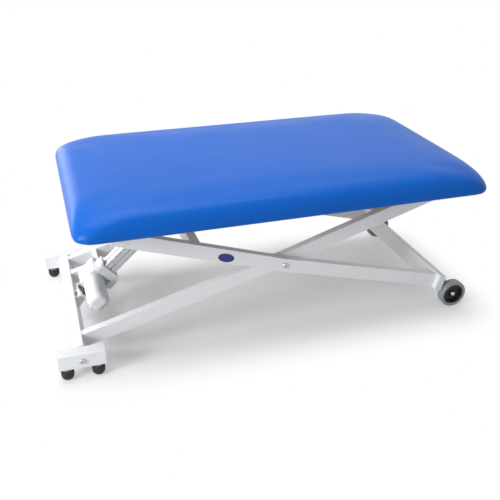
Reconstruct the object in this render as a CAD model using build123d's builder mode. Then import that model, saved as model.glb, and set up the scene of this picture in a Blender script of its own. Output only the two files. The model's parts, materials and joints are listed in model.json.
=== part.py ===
from build123d import *
import os
from math import atan2, cos, degrees, hypot, radians, sin, tan

os.makedirs("parts", exist_ok=True)

# Electric height-adjustable therapy table: an upholstered top on an open scissor lift.
# The inner scissor frame hinges on two foot beams, the outer one rolls on two wheels.
# All sizes in mm and degrees. +X runs along the table, +Y away from the motor's side, +Z up.
# The origin is on the floor, midway between the foot beams' ends and the wheels' rims.

# Overall
overall_l = 1617.0
top_l = 1500.0
top_w = 900.0
top_z = 528.0
top_x = 36.5
gap = 0.3
bore_gap = 0.05
overrun = 1.0

# Foot beams and rubber feet
foot_beam_l = 157.0
foot_beam_w = 48.0
foot_beam_h = 59.0
foot_beam_y = 378.0
foot_wall = 3.0
tube_corner = 4.0
end_cap_t = 2.0
foot_rubber_h = 38.0
foot_rubber_r = 23.0
foot_flat_r = 13.0
foot_dome_share = 0.45
foot_plate_t = 4.0
foot_nut_t = 5.0
foot_stud_r = 5.0
foot_offset = 53.0

# Pivots
shaft_r = 8.0
head_r = 10.5
head_t = 6.0
socket_share = 0.4
head_edge_share = 0.3
head_round_share = 0.78
head_round_r_share = 0.88
head_top_share = 0.6
washer_t = 2.0
bush_r = 12.0
bush_l = 26.0

# Scissor arms
arm_h = 52.0
arm_w = 30.0
arm_wall = 3.0
frame_y = 25.0
outer_face_y = 346.0
arm_gap = 3.0
mid_share = 0.5134
mid_z = 285.0
upper_slope = 17.8
hinge_z = 472.0
lever_ratio = 1.055
roller_rise = 10.0
arm_tip = 27.0
plug_t = 3.0

# Cross members
crossbeam_l = 40.0
crossbeam_h = 58.0
axle_beam_l = 27.0
axle_beam_h = 66.0
axle_beam_back = 60.6
axle_beam_z = 110.0
axle_beam_overhang = 22.0
axle_beam_far_overhang = 2.0
cross_tube = 40.0
cross_wall = 3.0
inner_tube_reach = 420.0

# Wheels
wheel_d = 110.0
wheel_w = 36.0
wheel_y = 334.0
wheel_mid_y = -6.0
tyre_t = 15.0
tyre_round = 6.3
hub_recess = 8.0
hub_boss_r = 13.0
hub_web = 12.0
axle_r = 6.0
axle_head_r = 9.0
axle_head_t = 5.0
bracket_t = 5.0
bracket_r = 15.0
nut_t = 6.0

# Top frame
rail_w = 25.0
rail_h = 40.0
rail_wall = 2.0
rail_past_hinge = 104.0
rail_past_roller = 95.0
cross_rail_h = 25.0
cross_rail_spacing = 500.0
hinge_plate_t = 3.5
hinge_plate_w = 60.0
roller_r = 16.0
roller_w = 22.0
channel_wall = 3.0
channel_l = 210.0
channel_depth = 33.0
board_t = 15.0
board_inset = 24.0

# Cushion
cushion_t = 82.5
cushion_corner_r = 89.0
cushion_corner_growth = 2.95
cushion_roll_in = 56.0
cushion_roll_h = 80.0
cushion_crown = 5.0
cushion_under_in = 5.0
cushion_under_h = 15.0
crown_inset = 150.0
crown_corner_share = 0.9
crown_rise_share = 0.6
crown_step_share = 0.45

# Actuator, placed along its own axis from the rear pivot
act_offset = 36.5
act_pivot_z = 96.0
act_slope = 42.0
act_rear_y = 15.0
act_rod_y = 15.0
rear_ear_t = 6.0
rear_ear_r = 15.0
rear_boss_w = 38.0
rear_boss_r = 14.0
rear_pin_r = 6.0
neck_share = 0.7
gusset_up_share = 0.36
gusset_down_share = 0.45
gusset_out_share = 0.8
gusset_drop_share = 0.6
buffer_start = 19.0
buffer_t = 16.0
buffer_r = 33.0
gear_start = 35.0
gear_l = 90.0
gear_low = 32.0
gear_high = 42.0
gear_far_y = 108.0
gear_corner = 10.0
bore_start_share = 0.7
seam_y = -1.0
seam_t = 2.0
seam_inset = 1.5
motor_side = 72.0
motor_corner = 25.0
motor_center_s = 78.0
motor_center_p = 6.0
motor_end_y = -165.0
motor_dome = 22.0
motor_stud_r = 3.5
motor_stud_l = 8.0
block_start = 90.0
block_low = 55.0
block_end = 158.0
block_high = 36.0
block_near_y = -20.0
block_far_y = 52.0
flange_t = 6.0
flange_l = 40.0
flange_w = 62.0
flange_screw_r = 3.2
flange_screw_t = 2.5
screw_along_share = 0.64
screw_across_share = 0.38
guide_end = 335.0
guide_w = 56.0
guide_h = 52.0
guide_bore_r = 12.5
guide_slot_w = 8.0
guide_slot_t = 9.0
guide_lip_share = 0.32
guide_lip_t = 3.0
guide_cap_t = 6.0
guide_lug_s = 262.0
guide_lug_l = 24.0
guide_lug_h = 18.0
guide_lug_w = 22.0
guide_lug_flat_share = 0.45
guide_lug_drop_share = 0.3
rod_r = 10.0
rod_tail_s = 124.0
rod_eye_r = 15.0
rod_eye_w = 22.0
rod_pin_r = 6.0
gland_r = 9.0
gland_l = 16.0
gland_nose_share = 0.75
gland_bore_share = 0.4

# Drive lugs on the outer frame, slotted because the drive's front pin shifts in them
lug_t = 6.0
lug_slot_l = 29.0
lug_slot_w = 16.5
lug_slot_angle = -21.1
lug_slot_dx = -5.5
lug_slot_dz = 4.0
lug_edge = 12.0
drive_tube_offset = 52.0

# Bracing on the far side
stub_y = 194.0
stub_w = 32.0
bar_l = 20.0
bar_near_y = 172.0
bar_offset = 127.5

# Places worked out from the sizes
pivot_x = -overall_l / 2 + end_cap_t + foot_beam_l / 2
foot_h = foot_rubber_h + foot_plate_t + foot_nut_t
pivot_z = foot_h + foot_beam_h / 2
beam_in_y = foot_beam_y - foot_beam_w / 2
beam_out_y = foot_beam_y + foot_beam_w / 2
wheel_x = overall_l / 2 - wheel_d / 2
wheel_z = wheel_d / 2
mid_x = pivot_x + mid_share * (wheel_x - pivot_x)
beam_x = wheel_x - axle_beam_back
lower_slope = degrees(atan2(mid_z - pivot_z, mid_x - pivot_x))
lower_reach = hypot(mid_x - pivot_x, mid_z - pivot_z)
outer_lower_slope = degrees(atan2(mid_z - axle_beam_z, beam_x - mid_x))
outer_lower_reach = hypot(beam_x - mid_x, mid_z - axle_beam_z) - axle_beam_l / 2
outer_run = (hinge_z - mid_z) / tan(radians(upper_slope))
hinge_x = mid_x - outer_run
outer_reach = outer_run / cos(radians(upper_slope))
inner_reach = lever_ratio * outer_reach + roller_rise * tan(radians(upper_slope))
roller_x = mid_x + lever_ratio * outer_run
roller_z = mid_z + inner_reach * sin(radians(upper_slope)) + roller_rise * cos(radians(upper_slope))
rail_start_x = hinge_x - rail_past_hinge
rail_end_x = roller_x + rail_past_roller
act_pivot_x = pivot_x + act_offset
bar_x = pivot_x + bar_offset
inner_face_y = outer_face_y - arm_w - arm_gap
rail_in_y = outer_face_y + hinge_plate_t + bore_gap
act_axis = (cos(radians(act_slope)), 0, sin(radians(act_slope)))
sides = {"near": -1, "far": 1}

# The front pin lies where the drive's axis crosses the outer arms' upper centre line
drive_rise = tan(radians(act_slope))
arm_fall = tan(radians(upper_slope))
pin_x = (mid_z + arm_fall * mid_x - act_pivot_z + drive_rise * act_pivot_x) / (drive_rise + arm_fall)
pin_z = act_pivot_z + drive_rise * (pin_x - act_pivot_x)
rod_pin_s = hypot(pin_x - act_pivot_x, pin_z - act_pivot_z)


def side_plane(x, y, z, tilt=0.0):
    """Plane across Y at a point, its own x turned up by tilt; an extrusion runs towards -Y."""
    turn = radians(tilt)
    return Plane(origin=(x, y, z), x_dir=(cos(turn), 0, sin(turn)), z_dir=(0, -1, 0))


def end_plane(x, y, z, tilt=0.0):
    """Plane square to a direction in XZ that rises by tilt; an extrusion runs along that direction."""
    turn = radians(tilt)
    return Plane(origin=(x, y, z), x_dir=(0, 1, 0), z_dir=(cos(turn), 0, sin(turn)))


def arm_outline(side, low, up, half):
    """Corners of a cranked arm with its bend at the mid pivot; side is the way its lower half runs."""
    a = radians(lower_slope if side < 0 else outer_lower_slope)
    b = radians(upper_slope)
    low_dir = (side * cos(a), -sin(a))
    up_dir = (-side * cos(b), sin(b))
    low_up = (side * sin(a), cos(a))
    up_up = (side * sin(b), cos(b))
    m = (a + b) / 2
    mitre = half / cos((b - a) / 2)
    bend = (side * sin(m) * mitre, cos(m) * mitre)
    return [
        (mid_x + low * low_dir[0] + half * low_up[0], mid_z + low * low_dir[1] + half * low_up[1]),
        (mid_x + bend[0], mid_z + bend[1]),
        (mid_x + up * up_dir[0] + half * up_up[0], mid_z + up * up_dir[1] + half * up_up[1]),
        (mid_x + up * up_dir[0] - half * up_up[0], mid_z + up * up_dir[1] - half * up_up[1]),
        (mid_x - bend[0], mid_z - bend[1]),
        (mid_x + low * low_dir[0] - half * low_up[0], mid_z + low * low_dir[1] - half * low_up[1]),
    ]


def on_arm(side, reach):
    """Point in XZ at a distance from the mid pivot along the centre line of an arm's upper half."""
    slope = radians(upper_slope)
    return mid_x - side * reach * cos(slope), mid_z + reach * sin(slope)


def act_point(s, p):
    """Point in XZ at s along the drive's axis from its rear pivot and p above it."""
    turn = radians(act_slope)
    return act_pivot_x + s * cos(turn) - p * sin(turn), act_pivot_z + s * sin(turn) + p * cos(turn)


def keep(builder, name):
    """Label a finished piece and write it."""
    builder.part.label = name
    export_step(builder.part, f"parts/{name}.step")


# Foot beams: square tubes along X, each bored across for the pivot shaft
for name, side in sides.items():
    with BuildPart() as foot_beam:
        with BuildSketch(Plane.YZ.offset(pivot_x - foot_beam_l / 2)):
            with Locations((side * foot_beam_y, pivot_z)):
                RectangleRounded(foot_beam_w, foot_beam_h, tube_corner)
                Rectangle(foot_beam_w - 2 * foot_wall, foot_beam_h - 2 * foot_wall, mode=Mode.SUBTRACT)
        extrude(amount=foot_beam_l)
        with BuildSketch(side_plane(pivot_x, side * foot_beam_y + foot_beam_w, pivot_z)):
            Circle(shaft_r + bore_gap)
        extrude(amount=2 * foot_beam_w, mode=Mode.SUBTRACT)
        with BuildSketch(Plane.XY.offset(foot_h - overrun)):
            for offset in (-foot_offset, foot_offset):
                with Locations((pivot_x + offset, side * foot_beam_y)):
                    Circle(foot_stud_r + bore_gap)
        extrude(amount=foot_wall + 2 * overrun, mode=Mode.SUBTRACT)
    keep(foot_beam, f"foot_beam_{name}")

# Plastic caps over the foot beams' ends
with BuildPart() as foot_caps:
    for side in sides.values():
        for x in (pivot_x - foot_beam_l / 2 - end_cap_t, pivot_x + foot_beam_l / 2):
            with BuildSketch(Plane.YZ.offset(x)):
                with Locations((side * foot_beam_y, pivot_z)):
                    RectangleRounded(foot_beam_w, foot_beam_h, tube_corner)
            extrude(amount=end_cap_t)
keep(foot_caps, "foot_beam_caps")

foot_places = [
    (pivot_x + offset, side * foot_beam_y)
    for side in sides.values()
    for offset in (-foot_offset, foot_offset)
]

# Rubber feet: domes with a small flat underneath
with BuildPart() as rubber_feet:
    for x, y in foot_places:
        with BuildSketch(Plane(origin=(x, y, 0), x_dir=(1, 0, 0), z_dir=(0, -1, 0))):
            with BuildLine():
                Polyline((0, 0), (foot_flat_r, 0))
                RadiusArc((foot_flat_r, 0), (foot_rubber_r, foot_rubber_h * foot_dome_share), -foot_rubber_r)
                Polyline(
                    (foot_rubber_r, foot_rubber_h * foot_dome_share),
                    (foot_rubber_r, foot_rubber_h),
                    (0, foot_rubber_h),
                    (0, 0),
                )
            make_face()
        revolve(axis=Axis((x, y, 0), (0, 0, 1)))
keep(rubber_feet, "rubber_feet")

# Steel plate, lock nut and stud over each rubber foot
with BuildPart() as foot_studs:
    for x, y in foot_places:
        with BuildSketch(Plane.XY.offset(foot_rubber_h)):
            with Locations((x, y)):
                Circle(foot_rubber_r - foot_plate_t)
        extrude(amount=foot_plate_t)
        with BuildSketch(Plane.XY.offset(foot_rubber_h + foot_plate_t)):
            with Locations((x, y)):
                RegularPolygon(2 * foot_stud_r, 6)
        extrude(amount=foot_nut_t)
        with BuildSketch(Plane.XY.offset(foot_h)):
            with Locations((x, y)):
                Circle(foot_stud_r)
        extrude(amount=foot_wall + foot_stud_r)
keep(foot_studs, "foot_studs")

# Pivot shaft through both foot beams and the crossbeam
with BuildPart() as base_shaft:
    with BuildSketch(side_plane(pivot_x, beam_out_y, pivot_z)):
        Circle(shaft_r)
    extrude(amount=2 * beam_out_y)
keep(base_shaft, "base_pivot_shaft")


def button_head(x, y, z, side, radius, height):
    """Domed socket head whose flat face lies at y; side is the way it stands out."""
    with BuildPart() as head:
        with BuildSketch(Plane(origin=(x, y, z), x_dir=(1, 0, 0), z_dir=(0, 0, 1))):
            with BuildLine():
                Polyline((0, 0), (radius, 0), (radius, side * height * head_edge_share))
                ThreePointArc(
                    (radius, side * height * head_edge_share),
                    (radius * head_round_r_share, side * height * head_round_share),
                    (radius * head_top_share, side * height),
                )
                Polyline((radius * head_top_share, side * height), (0, side * height), (0, 0))
            make_face()
        revolve(axis=Axis((x, y, z), (0, 1, 0)))
        with BuildSketch(side_plane(x, y + side * height, z)):
            RegularPolygon(radius * socket_share, 6)
        extrude(amount=side * height / 2, mode=Mode.SUBTRACT)
    return head.part


base_heads = [button_head(pivot_x, way * beam_out_y, pivot_z, way, head_r, head_t) for way in sides.values()]
with BuildPart() as base_screws:
    add(base_heads)
keep(base_screws, "base_pivot_screws")

# Crossbeam of the inner frame: it turns on the shaft between the foot beams
crossbeam_half = beam_in_y - washer_t - gap
with BuildPart() as crossbeam:
    with BuildSketch(side_plane(pivot_x, crossbeam_half, pivot_z, lower_slope)):
        RectangleRounded(crossbeam_l, crossbeam_h, tube_corner)
        Rectangle(crossbeam_l - 2 * arm_wall, crossbeam_h - 2 * arm_wall, mode=Mode.SUBTRACT)
    extrude(amount=2 * crossbeam_half)
    for y in (crossbeam_half, -crossbeam_half + bush_l):
        with BuildSketch(side_plane(pivot_x, y, pivot_z, lower_slope)):
            Rectangle(crossbeam_l - arm_wall, crossbeam_h - arm_wall)
            Circle(bush_r + bore_gap, mode=Mode.SUBTRACT)
        extrude(amount=bush_l)
keep(crossbeam, "base_crossbeam")

# Plain bearings in the crossbeam's ends
with BuildPart() as crossbeam_bushes:
    for y in (crossbeam_half, -crossbeam_half + bush_l):
        with BuildSketch(side_plane(pivot_x, y, pivot_z)):
            Circle(bush_r)
            Circle(shaft_r + bore_gap, mode=Mode.SUBTRACT)
        extrude(amount=bush_l)
keep(crossbeam_bushes, "crossbeam_bushes")

# Thrust washers between the crossbeam and the foot beams
with BuildPart() as thrust_washers:
    for side in sides.values():
        y = side * beam_in_y if side > 0 else -beam_in_y + washer_t
        with BuildSketch(side_plane(pivot_x, y, pivot_z)):
            Circle(head_r + washer_t)
            Circle(shaft_r + bore_gap, mode=Mode.SUBTRACT)
        extrude(amount=washer_t)
keep(thrust_washers, "thrust_washers")


def arm_tube(side, low, up, y, sleeve_r, pin_r):
    """Cranked rectangular tube from y towards -Y, with a sleeve across it at the mid pivot."""
    with BuildPart() as tube:
        with BuildSketch(side_plane(0, y, 0)):
            with BuildLine():
                Polyline(*arm_outline(side, low, up, arm_h / 2), close=True)
            make_face()
        extrude(amount=arm_w)
        with BuildSketch(side_plane(0, y - arm_wall, 0)):
            with BuildLine():
                Polyline(*arm_outline(side, low + overrun, up + overrun, arm_h / 2 - arm_wall), close=True)
            make_face()
        extrude(amount=arm_w - 2 * arm_wall, mode=Mode.SUBTRACT)
        with BuildSketch(side_plane(mid_x, y - arm_wall / 2, mid_z)):
            Circle(sleeve_r)
        extrude(amount=arm_w - arm_wall)
        with BuildSketch(side_plane(mid_x, y + overrun, mid_z)):
            Circle(pin_r)
        extrude(amount=arm_w + 2 * overrun, mode=Mode.SUBTRACT)
    return tube.part


inner_low = lower_reach - crossbeam_l / 2
sleeve_r = bush_r + arm_wall
hole_r = shaft_r + bore_gap
for name, side in sides.items():
    y = frame_y + (inner_face_y if side > 0 else -(inner_face_y - arm_w))
    tube = arm_tube(-1, inner_low, inner_reach + arm_tip, y, sleeve_r, hole_r)
    with BuildPart() as inner_arm:
        add(tube)
        with BuildSketch(side_plane(roller_x, y + overrun, roller_z)):
            Circle(axle_r + bore_gap)
        extrude(amount=arm_w + 2 * overrun, mode=Mode.SUBTRACT)
    keep(inner_arm, f"inner_arm_{name}")

    y = frame_y + (outer_face_y if side > 0 else -(outer_face_y - arm_w))
    tube = arm_tube(1, outer_lower_reach, outer_reach + arm_tip, y, sleeve_r, hole_r)
    with BuildPart() as outer_arm:
        add(tube)
        with BuildSketch(side_plane(hinge_x, y + overrun, hinge_z)):
            Circle(hole_r)
        extrude(amount=arm_w + 2 * overrun, mode=Mode.SUBTRACT)
    keep(outer_arm, f"outer_arm_{name}")


# Plastic plugs over the upper ends of the arms
plug_x, plug_z = on_arm(-1, inner_reach + arm_tip)
with BuildPart() as inner_plugs:
    for side in sides.values():
        center = frame_y + side * (inner_face_y - arm_w / 2)
        with BuildSketch(end_plane(plug_x, center, plug_z, upper_slope)):
            RectangleRounded(arm_w, arm_h, tube_corner)
        extrude(amount=plug_t)
keep(inner_plugs, "inner_arm_plugs")

plug_x, plug_z = on_arm(1, outer_reach + arm_tip)
with BuildPart() as outer_plugs:
    for side in sides.values():
        center = frame_y + side * (outer_face_y - arm_w / 2)
        with BuildSketch(end_plane(plug_x, center, plug_z, 180 - upper_slope)):
            RectangleRounded(arm_w, arm_h, tube_corner)
        extrude(amount=plug_t)
keep(outer_plugs, "outer_arm_plugs")

# Tubes that tie each pair of arms together
inner_clear = inner_face_y - arm_w
tube_x, tube_z = on_arm(-1, inner_tube_reach)
with BuildPart() as inner_cross_tube:
    with BuildSketch(side_plane(tube_x, frame_y + inner_clear, tube_z, upper_slope)):
        RectangleRounded(cross_tube, cross_tube, tube_corner)
        Rectangle(cross_tube - 2 * cross_wall, cross_tube - 2 * cross_wall, mode=Mode.SUBTRACT)
    extrude(amount=2 * inner_clear)
keep(inner_cross_tube, "inner_cross_tube")

outer_clear = outer_face_y - arm_w
drive_reach = hypot(pin_x - mid_x, pin_z - mid_z) - drive_tube_offset
drive_tube_x, drive_tube_z = on_arm(1, drive_reach)
with BuildPart() as outer_cross_tube:
    with BuildSketch(side_plane(drive_tube_x, frame_y + outer_clear, drive_tube_z, -upper_slope)):
        RectangleRounded(cross_tube, cross_tube, tube_corner)
        Rectangle(cross_tube - 2 * cross_wall, cross_tube - 2 * cross_wall, mode=Mode.SUBTRACT)
    extrude(amount=2 * outer_clear)
keep(outer_cross_tube, "outer_cross_tube")

# Slotted lugs on the outer cross tube that take the drive's front pin
slot_x = pin_x + lug_slot_dx
slot_z = pin_z + lug_slot_dz
lug_half = (lug_slot_w + 2 * lug_edge) / 2
lug_l = lug_slot_l + lug_slot_w + 2 * lug_edge
with BuildPart() as drive_lugs:
    for y in (act_rod_y - rod_eye_w / 2 - gap, act_rod_y + rod_eye_w / 2 + gap + lug_t):
        with BuildSketch(side_plane(slot_x, y, slot_z, lug_slot_angle)):
            SlotOverall(lug_l, 2 * lug_half)
            with Locations((lug_l / 4, 0)):
                Rectangle(lug_l / 2, 2 * lug_half)
        extrude(amount=lug_t)
        with BuildSketch(side_plane(slot_x, y + overrun, slot_z, lug_slot_angle)):
            SlotOverall(lug_slot_l + lug_slot_w, lug_slot_w)
        extrude(amount=lug_t + 2 * overrun, mode=Mode.SUBTRACT)
    with BuildSketch(side_plane(drive_tube_x, act_rod_y + rod_eye_w, drive_tube_z, -upper_slope)):
        Rectangle(cross_tube, lug_l * 2)
    extrude(amount=2 * rod_eye_w, mode=Mode.SUBTRACT)
    with BuildSketch(side_plane(drive_tube_x, act_rod_y + rod_eye_w, drive_tube_z, -upper_slope)):
        with Locations((3 * cross_tube / 2, 0)):
            Rectangle(2 * cross_tube, lug_l * 2)
    extrude(amount=2 * rod_eye_w, mode=Mode.SUBTRACT)
keep(drive_lugs, "drive_lugs")

# Axle beam across the lower ends of the outer arms
beam_near_y = frame_y - outer_face_y - axle_beam_overhang
beam_far_y = frame_y + outer_face_y + axle_beam_far_overhang
with BuildPart() as axle_beam:
    with BuildSketch(side_plane(beam_x, beam_far_y, axle_beam_z, -outer_lower_slope)):
        RectangleRounded(axle_beam_l, axle_beam_h, tube_corner)
        Rectangle(axle_beam_l - 2 * arm_wall, axle_beam_h - 2 * arm_wall, mode=Mode.SUBTRACT)
    extrude(amount=beam_far_y - beam_near_y)
keep(axle_beam, "axle_beam")

with BuildPart() as beam_caps:
    for y in (beam_near_y, beam_far_y + end_cap_t):
        with BuildSketch(side_plane(beam_x, y, axle_beam_z, -outer_lower_slope)):
            RectangleRounded(axle_beam_l, axle_beam_h, tube_corner)
        extrude(amount=end_cap_t)
keep(beam_caps, "axle_beam_caps")

# Brackets behind the beam that carry the wheels from their inner sides
wheel_in_y = wheel_y - wheel_w / 2
bracket_out_y = wheel_in_y - 2 * gap
face_turn = radians(outer_lower_slope)
beam_face_x = beam_x + axle_beam_l / 2 * cos(face_turn)
beam_face_z = axle_beam_z - axle_beam_l / 2 * sin(face_turn)
bracket_up = axle_beam_h / 2 - tube_corner
bracket_down = axle_beam_h / 2 - tube_corner
with BuildPart() as wheel_brackets:
    for side in sides.values():
        y = wheel_mid_y + (bracket_out_y if side > 0 else bracket_t - bracket_out_y)
        with BuildSketch(side_plane(0, y, 0)):
            with Locations((wheel_x, wheel_z)):
                Circle(bracket_r)
            with BuildLine():
                Polyline(
                    (beam_face_x + bracket_up * sin(face_turn), beam_face_z + bracket_up * cos(face_turn)),
                    (wheel_x + bracket_r * sin(face_turn), wheel_z + bracket_r * cos(face_turn)),
                    (wheel_x - bracket_r * sin(face_turn), wheel_z - bracket_r * cos(face_turn)),
                    (
                        beam_face_x - bracket_down * sin(face_turn),
                        beam_face_z - bracket_down * cos(face_turn),
                    ),
                    close=True,
                )
            make_face()
            with Locations((wheel_x, wheel_z)):
                Circle(axle_r + bore_gap, mode=Mode.SUBTRACT)
        extrude(amount=bracket_t)
keep(wheel_brackets, "wheel_brackets")

# Wheel axles: shouldered bolts with a nut on the bracket's inner side
wheel_out_y = wheel_y + wheel_w / 2
axle_head_y = wheel_out_y - hub_recess + gap
axle_in_y = bracket_out_y - bracket_t - nut_t
axle_heads = [
    button_head(wheel_x, wheel_mid_y + way * axle_head_y, wheel_z, way, axle_head_r, axle_head_t)
    for way in sides.values()
]
with BuildPart() as wheel_axles:
    add(axle_heads)
    for side in sides.values():
        tip = wheel_mid_y + side * axle_in_y
        head = wheel_mid_y + side * axle_head_y
        with BuildSketch(side_plane(wheel_x, max(tip, head), wheel_z)):
            Circle(axle_r)
        extrude(amount=abs(head - tip))
        with BuildSketch(side_plane(wheel_x, max(tip, tip + side * nut_t), wheel_z)):
            RegularPolygon(2 * axle_r, 6)
        extrude(amount=nut_t)
keep(wheel_axles, "wheel_axles")

# Wheels: soft tyre on a recessed plastic rim
rim_r = wheel_d / 2 - tyre_t
for name, side in sides.items():
    wheel_origin = (wheel_x, wheel_mid_y + side * wheel_y, wheel_z)
    with BuildPart() as tyre:
        with BuildSketch(Plane(origin=wheel_origin, x_dir=(1, 0, 0), z_dir=(0, 0, 1))):
            with Locations(((rim_r + wheel_d / 2) / 2, 0)):
                RectangleRounded(tyre_t, wheel_w, tyre_round)
        revolve(axis=Axis(wheel_origin, (0, 1, 0)))
    keep(tyre, f"tyre_{name}")

    with BuildPart() as hub:
        half = wheel_w / 2 - gap
        rim = rim_r - bore_gap
        lip = rim - tyre_t / 3
        web = hub_web / 2
        with BuildSketch(Plane(origin=wheel_origin, x_dir=(1, 0, 0), z_dir=(0, 0, 1))):
            with BuildLine():
                Polyline(
                    (axle_r + bore_gap, -half),
                    (hub_boss_r, -half),
                    (hub_boss_r + web / 2, -web),
                    (lip - web / 2, -web),
                    (lip, -half),
                    (rim, -half),
                    (rim, half),
                    (lip, half),
                    (lip - web / 2, web),
                    (hub_boss_r + web / 2, web),
                    (hub_boss_r, wheel_w / 2 - hub_recess),
                    (axle_r + bore_gap, wheel_w / 2 - hub_recess),
                    close=True,
                )
            make_face()
            if side < 0:
                mirror(about=Plane.XZ, mode=Mode.REPLACE)
        revolve(axis=Axis(wheel_origin, (0, 1, 0)))
    keep(hub, f"wheel_hub_{name}")

# Mid pivots: one socket bolt a side through outer arm, spacer and inner arm
mid_heads = [
    button_head(mid_x, frame_y + way * outer_face_y, mid_z, way, head_r, head_t) for way in sides.values()
]
with BuildPart() as mid_bolts:
    add(mid_heads)
    for side in sides.values():
        out = frame_y + side * outer_face_y
        tip = frame_y + side * (inner_clear - gap)
        end = frame_y + side * (inner_clear - gap - nut_t)
        with BuildSketch(side_plane(mid_x, max(out, end), mid_z)):
            Circle(shaft_r)
        extrude(amount=abs(out - end))
        with BuildSketch(side_plane(mid_x, max(tip, end), mid_z)):
            RegularPolygon(head_r, 6)
        extrude(amount=nut_t)
keep(mid_bolts, "mid_pivot_bolts")

with BuildPart() as mid_spacers:
    for side in sides.values():
        out = frame_y + side * (outer_face_y - arm_w)
        tip = frame_y + side * (inner_face_y + gap)
        with BuildSketch(side_plane(mid_x, max(out, tip), mid_z)):
            Circle(head_r + washer_t)
            Circle(shaft_r + bore_gap, mode=Mode.SUBTRACT)
        extrude(amount=abs(out - tip))
keep(mid_spacers, "mid_pivot_spacers")

# Bracing tubes between the crossbeam and the far inner arm
arm_a = radians(lower_slope)


def lower_arm_z(x):
    """Height of the centre line of the inner arm's lower half at x."""
    return mid_z + (x - mid_x) * tan(arm_a)


stub_end = (bar_x - bar_l / 2 * cos(arm_a) - pivot_x) / cos(arm_a)
with BuildPart() as brace_stub:
    with BuildSketch(
        end_plane(
            pivot_x + crossbeam_l / 2 * cos(arm_a), stub_y, pivot_z + crossbeam_l / 2 * sin(arm_a), lower_slope
        )
    ):
        Rectangle(stub_w, arm_h)
        Rectangle(stub_w - 2 * arm_wall, arm_h - 2 * arm_wall, mode=Mode.SUBTRACT)
    extrude(amount=stub_end - crossbeam_l / 2)
keep(brace_stub, "brace_stub")

brace_z = lower_arm_z(bar_x)
brace_far_y = frame_y + inner_face_y - arm_w
with BuildPart() as brace_bar:
    with BuildSketch(side_plane(bar_x, brace_far_y, brace_z, lower_slope)):
        Rectangle(bar_l, arm_h)
        Rectangle(bar_l - 2 * arm_wall, arm_h - 2 * arm_wall, mode=Mode.SUBTRACT)
    extrude(amount=brace_far_y - bar_near_y)
    with BuildSketch(side_plane(bar_x, bar_near_y + arm_wall, brace_z, lower_slope)):
        Rectangle(bar_l - arm_wall, arm_h - arm_wall)
    extrude(amount=arm_wall)
keep(brace_bar, "brace_bar")

# Ears on the crossbeam that hold the drive's rear end, with a gusset under them
face_x = pivot_x + crossbeam_l / 2 * cos(arm_a)
face_z = pivot_z + crossbeam_l / 2 * sin(arm_a)
with BuildPart() as rear_ears:
    for y in (act_rear_y - rear_boss_w / 2 - gap, act_rear_y + rear_boss_w / 2 + gap + rear_ear_t):
        with BuildSketch(side_plane(0, y, 0)):
            with Locations((act_pivot_x, act_pivot_z)):
                Circle(rear_ear_r)
            with BuildLine():
                Polyline(
                    (
                        face_x - crossbeam_h * gusset_up_share * sin(arm_a),
                        face_z + crossbeam_h * gusset_up_share * cos(arm_a),
                    ),
                    (act_pivot_x, act_pivot_z + rear_ear_r),
                    (act_pivot_x + rear_ear_r * gusset_out_share, act_pivot_z - rear_ear_r * gusset_drop_share),
                    (
                        face_x + crossbeam_h * gusset_down_share * sin(arm_a),
                        face_z - crossbeam_h * gusset_down_share * cos(arm_a),
                    ),
                    close=True,
                )
            make_face()
            with Locations((act_pivot_x, act_pivot_z)):
                Circle(rear_pin_r + bore_gap, mode=Mode.SUBTRACT)
        extrude(amount=rear_ear_t)
keep(rear_ears, "drive_rear_ears")

rear_pin_half = rear_boss_w / 2 + gap + rear_ear_t + washer_t
with BuildPart() as rear_pin:
    with BuildSketch(side_plane(act_pivot_x, act_rear_y + rear_pin_half, act_pivot_z)):
        Circle(rear_pin_r)
    extrude(amount=2 * rear_pin_half)
    for y in (act_rear_y + rear_pin_half, act_rear_y - rear_pin_half + washer_t - bore_gap):
        with BuildSketch(side_plane(act_pivot_x, y, act_pivot_z)):
            Circle(rear_pin_r + washer_t)
        extrude(amount=washer_t - bore_gap)
keep(rear_pin, "drive_rear_pin")

# Drive: rear boss and neck
neck_r = rear_boss_r * neck_share
with BuildPart() as rear_boss:
    with BuildSketch(side_plane(act_pivot_x, act_rear_y + rear_boss_w / 2, act_pivot_z, act_slope)):
        Circle(rear_boss_r)
        with Locations((gear_start / 2, 0)):
            Rectangle(gear_start, 2 * neck_r)
        Circle(rear_pin_r + bore_gap, mode=Mode.SUBTRACT)
    extrude(amount=rear_boss_w)
    x, z = act_point(buffer_start, 0)
    with BuildSketch(end_plane(x, act_rear_y, z, act_slope)):
        Rectangle(2 * rear_boss_w, 4 * rear_boss_r)
        Rectangle(rear_boss_w / 2, 2 * neck_r, mode=Mode.SUBTRACT)
    extrude(amount=gear_start, mode=Mode.SUBTRACT)
keep(rear_boss, "drive_rear_boss")

with BuildPart() as buffer_ring:
    x, z = act_point(buffer_start, 0)
    with BuildSketch(end_plane(x, act_rear_y, z, act_slope)):
        Circle(buffer_r)
        Rectangle(rear_boss_w / 2 + 2 * bore_gap, 2 * neck_r + 2 * bore_gap, mode=Mode.SUBTRACT)
    extrude(amount=buffer_t)
    fillet(buffer_ring.edges().filter_by(GeomType.CIRCLE), end_cap_t)
keep(buffer_ring, "drive_buffer")

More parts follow.
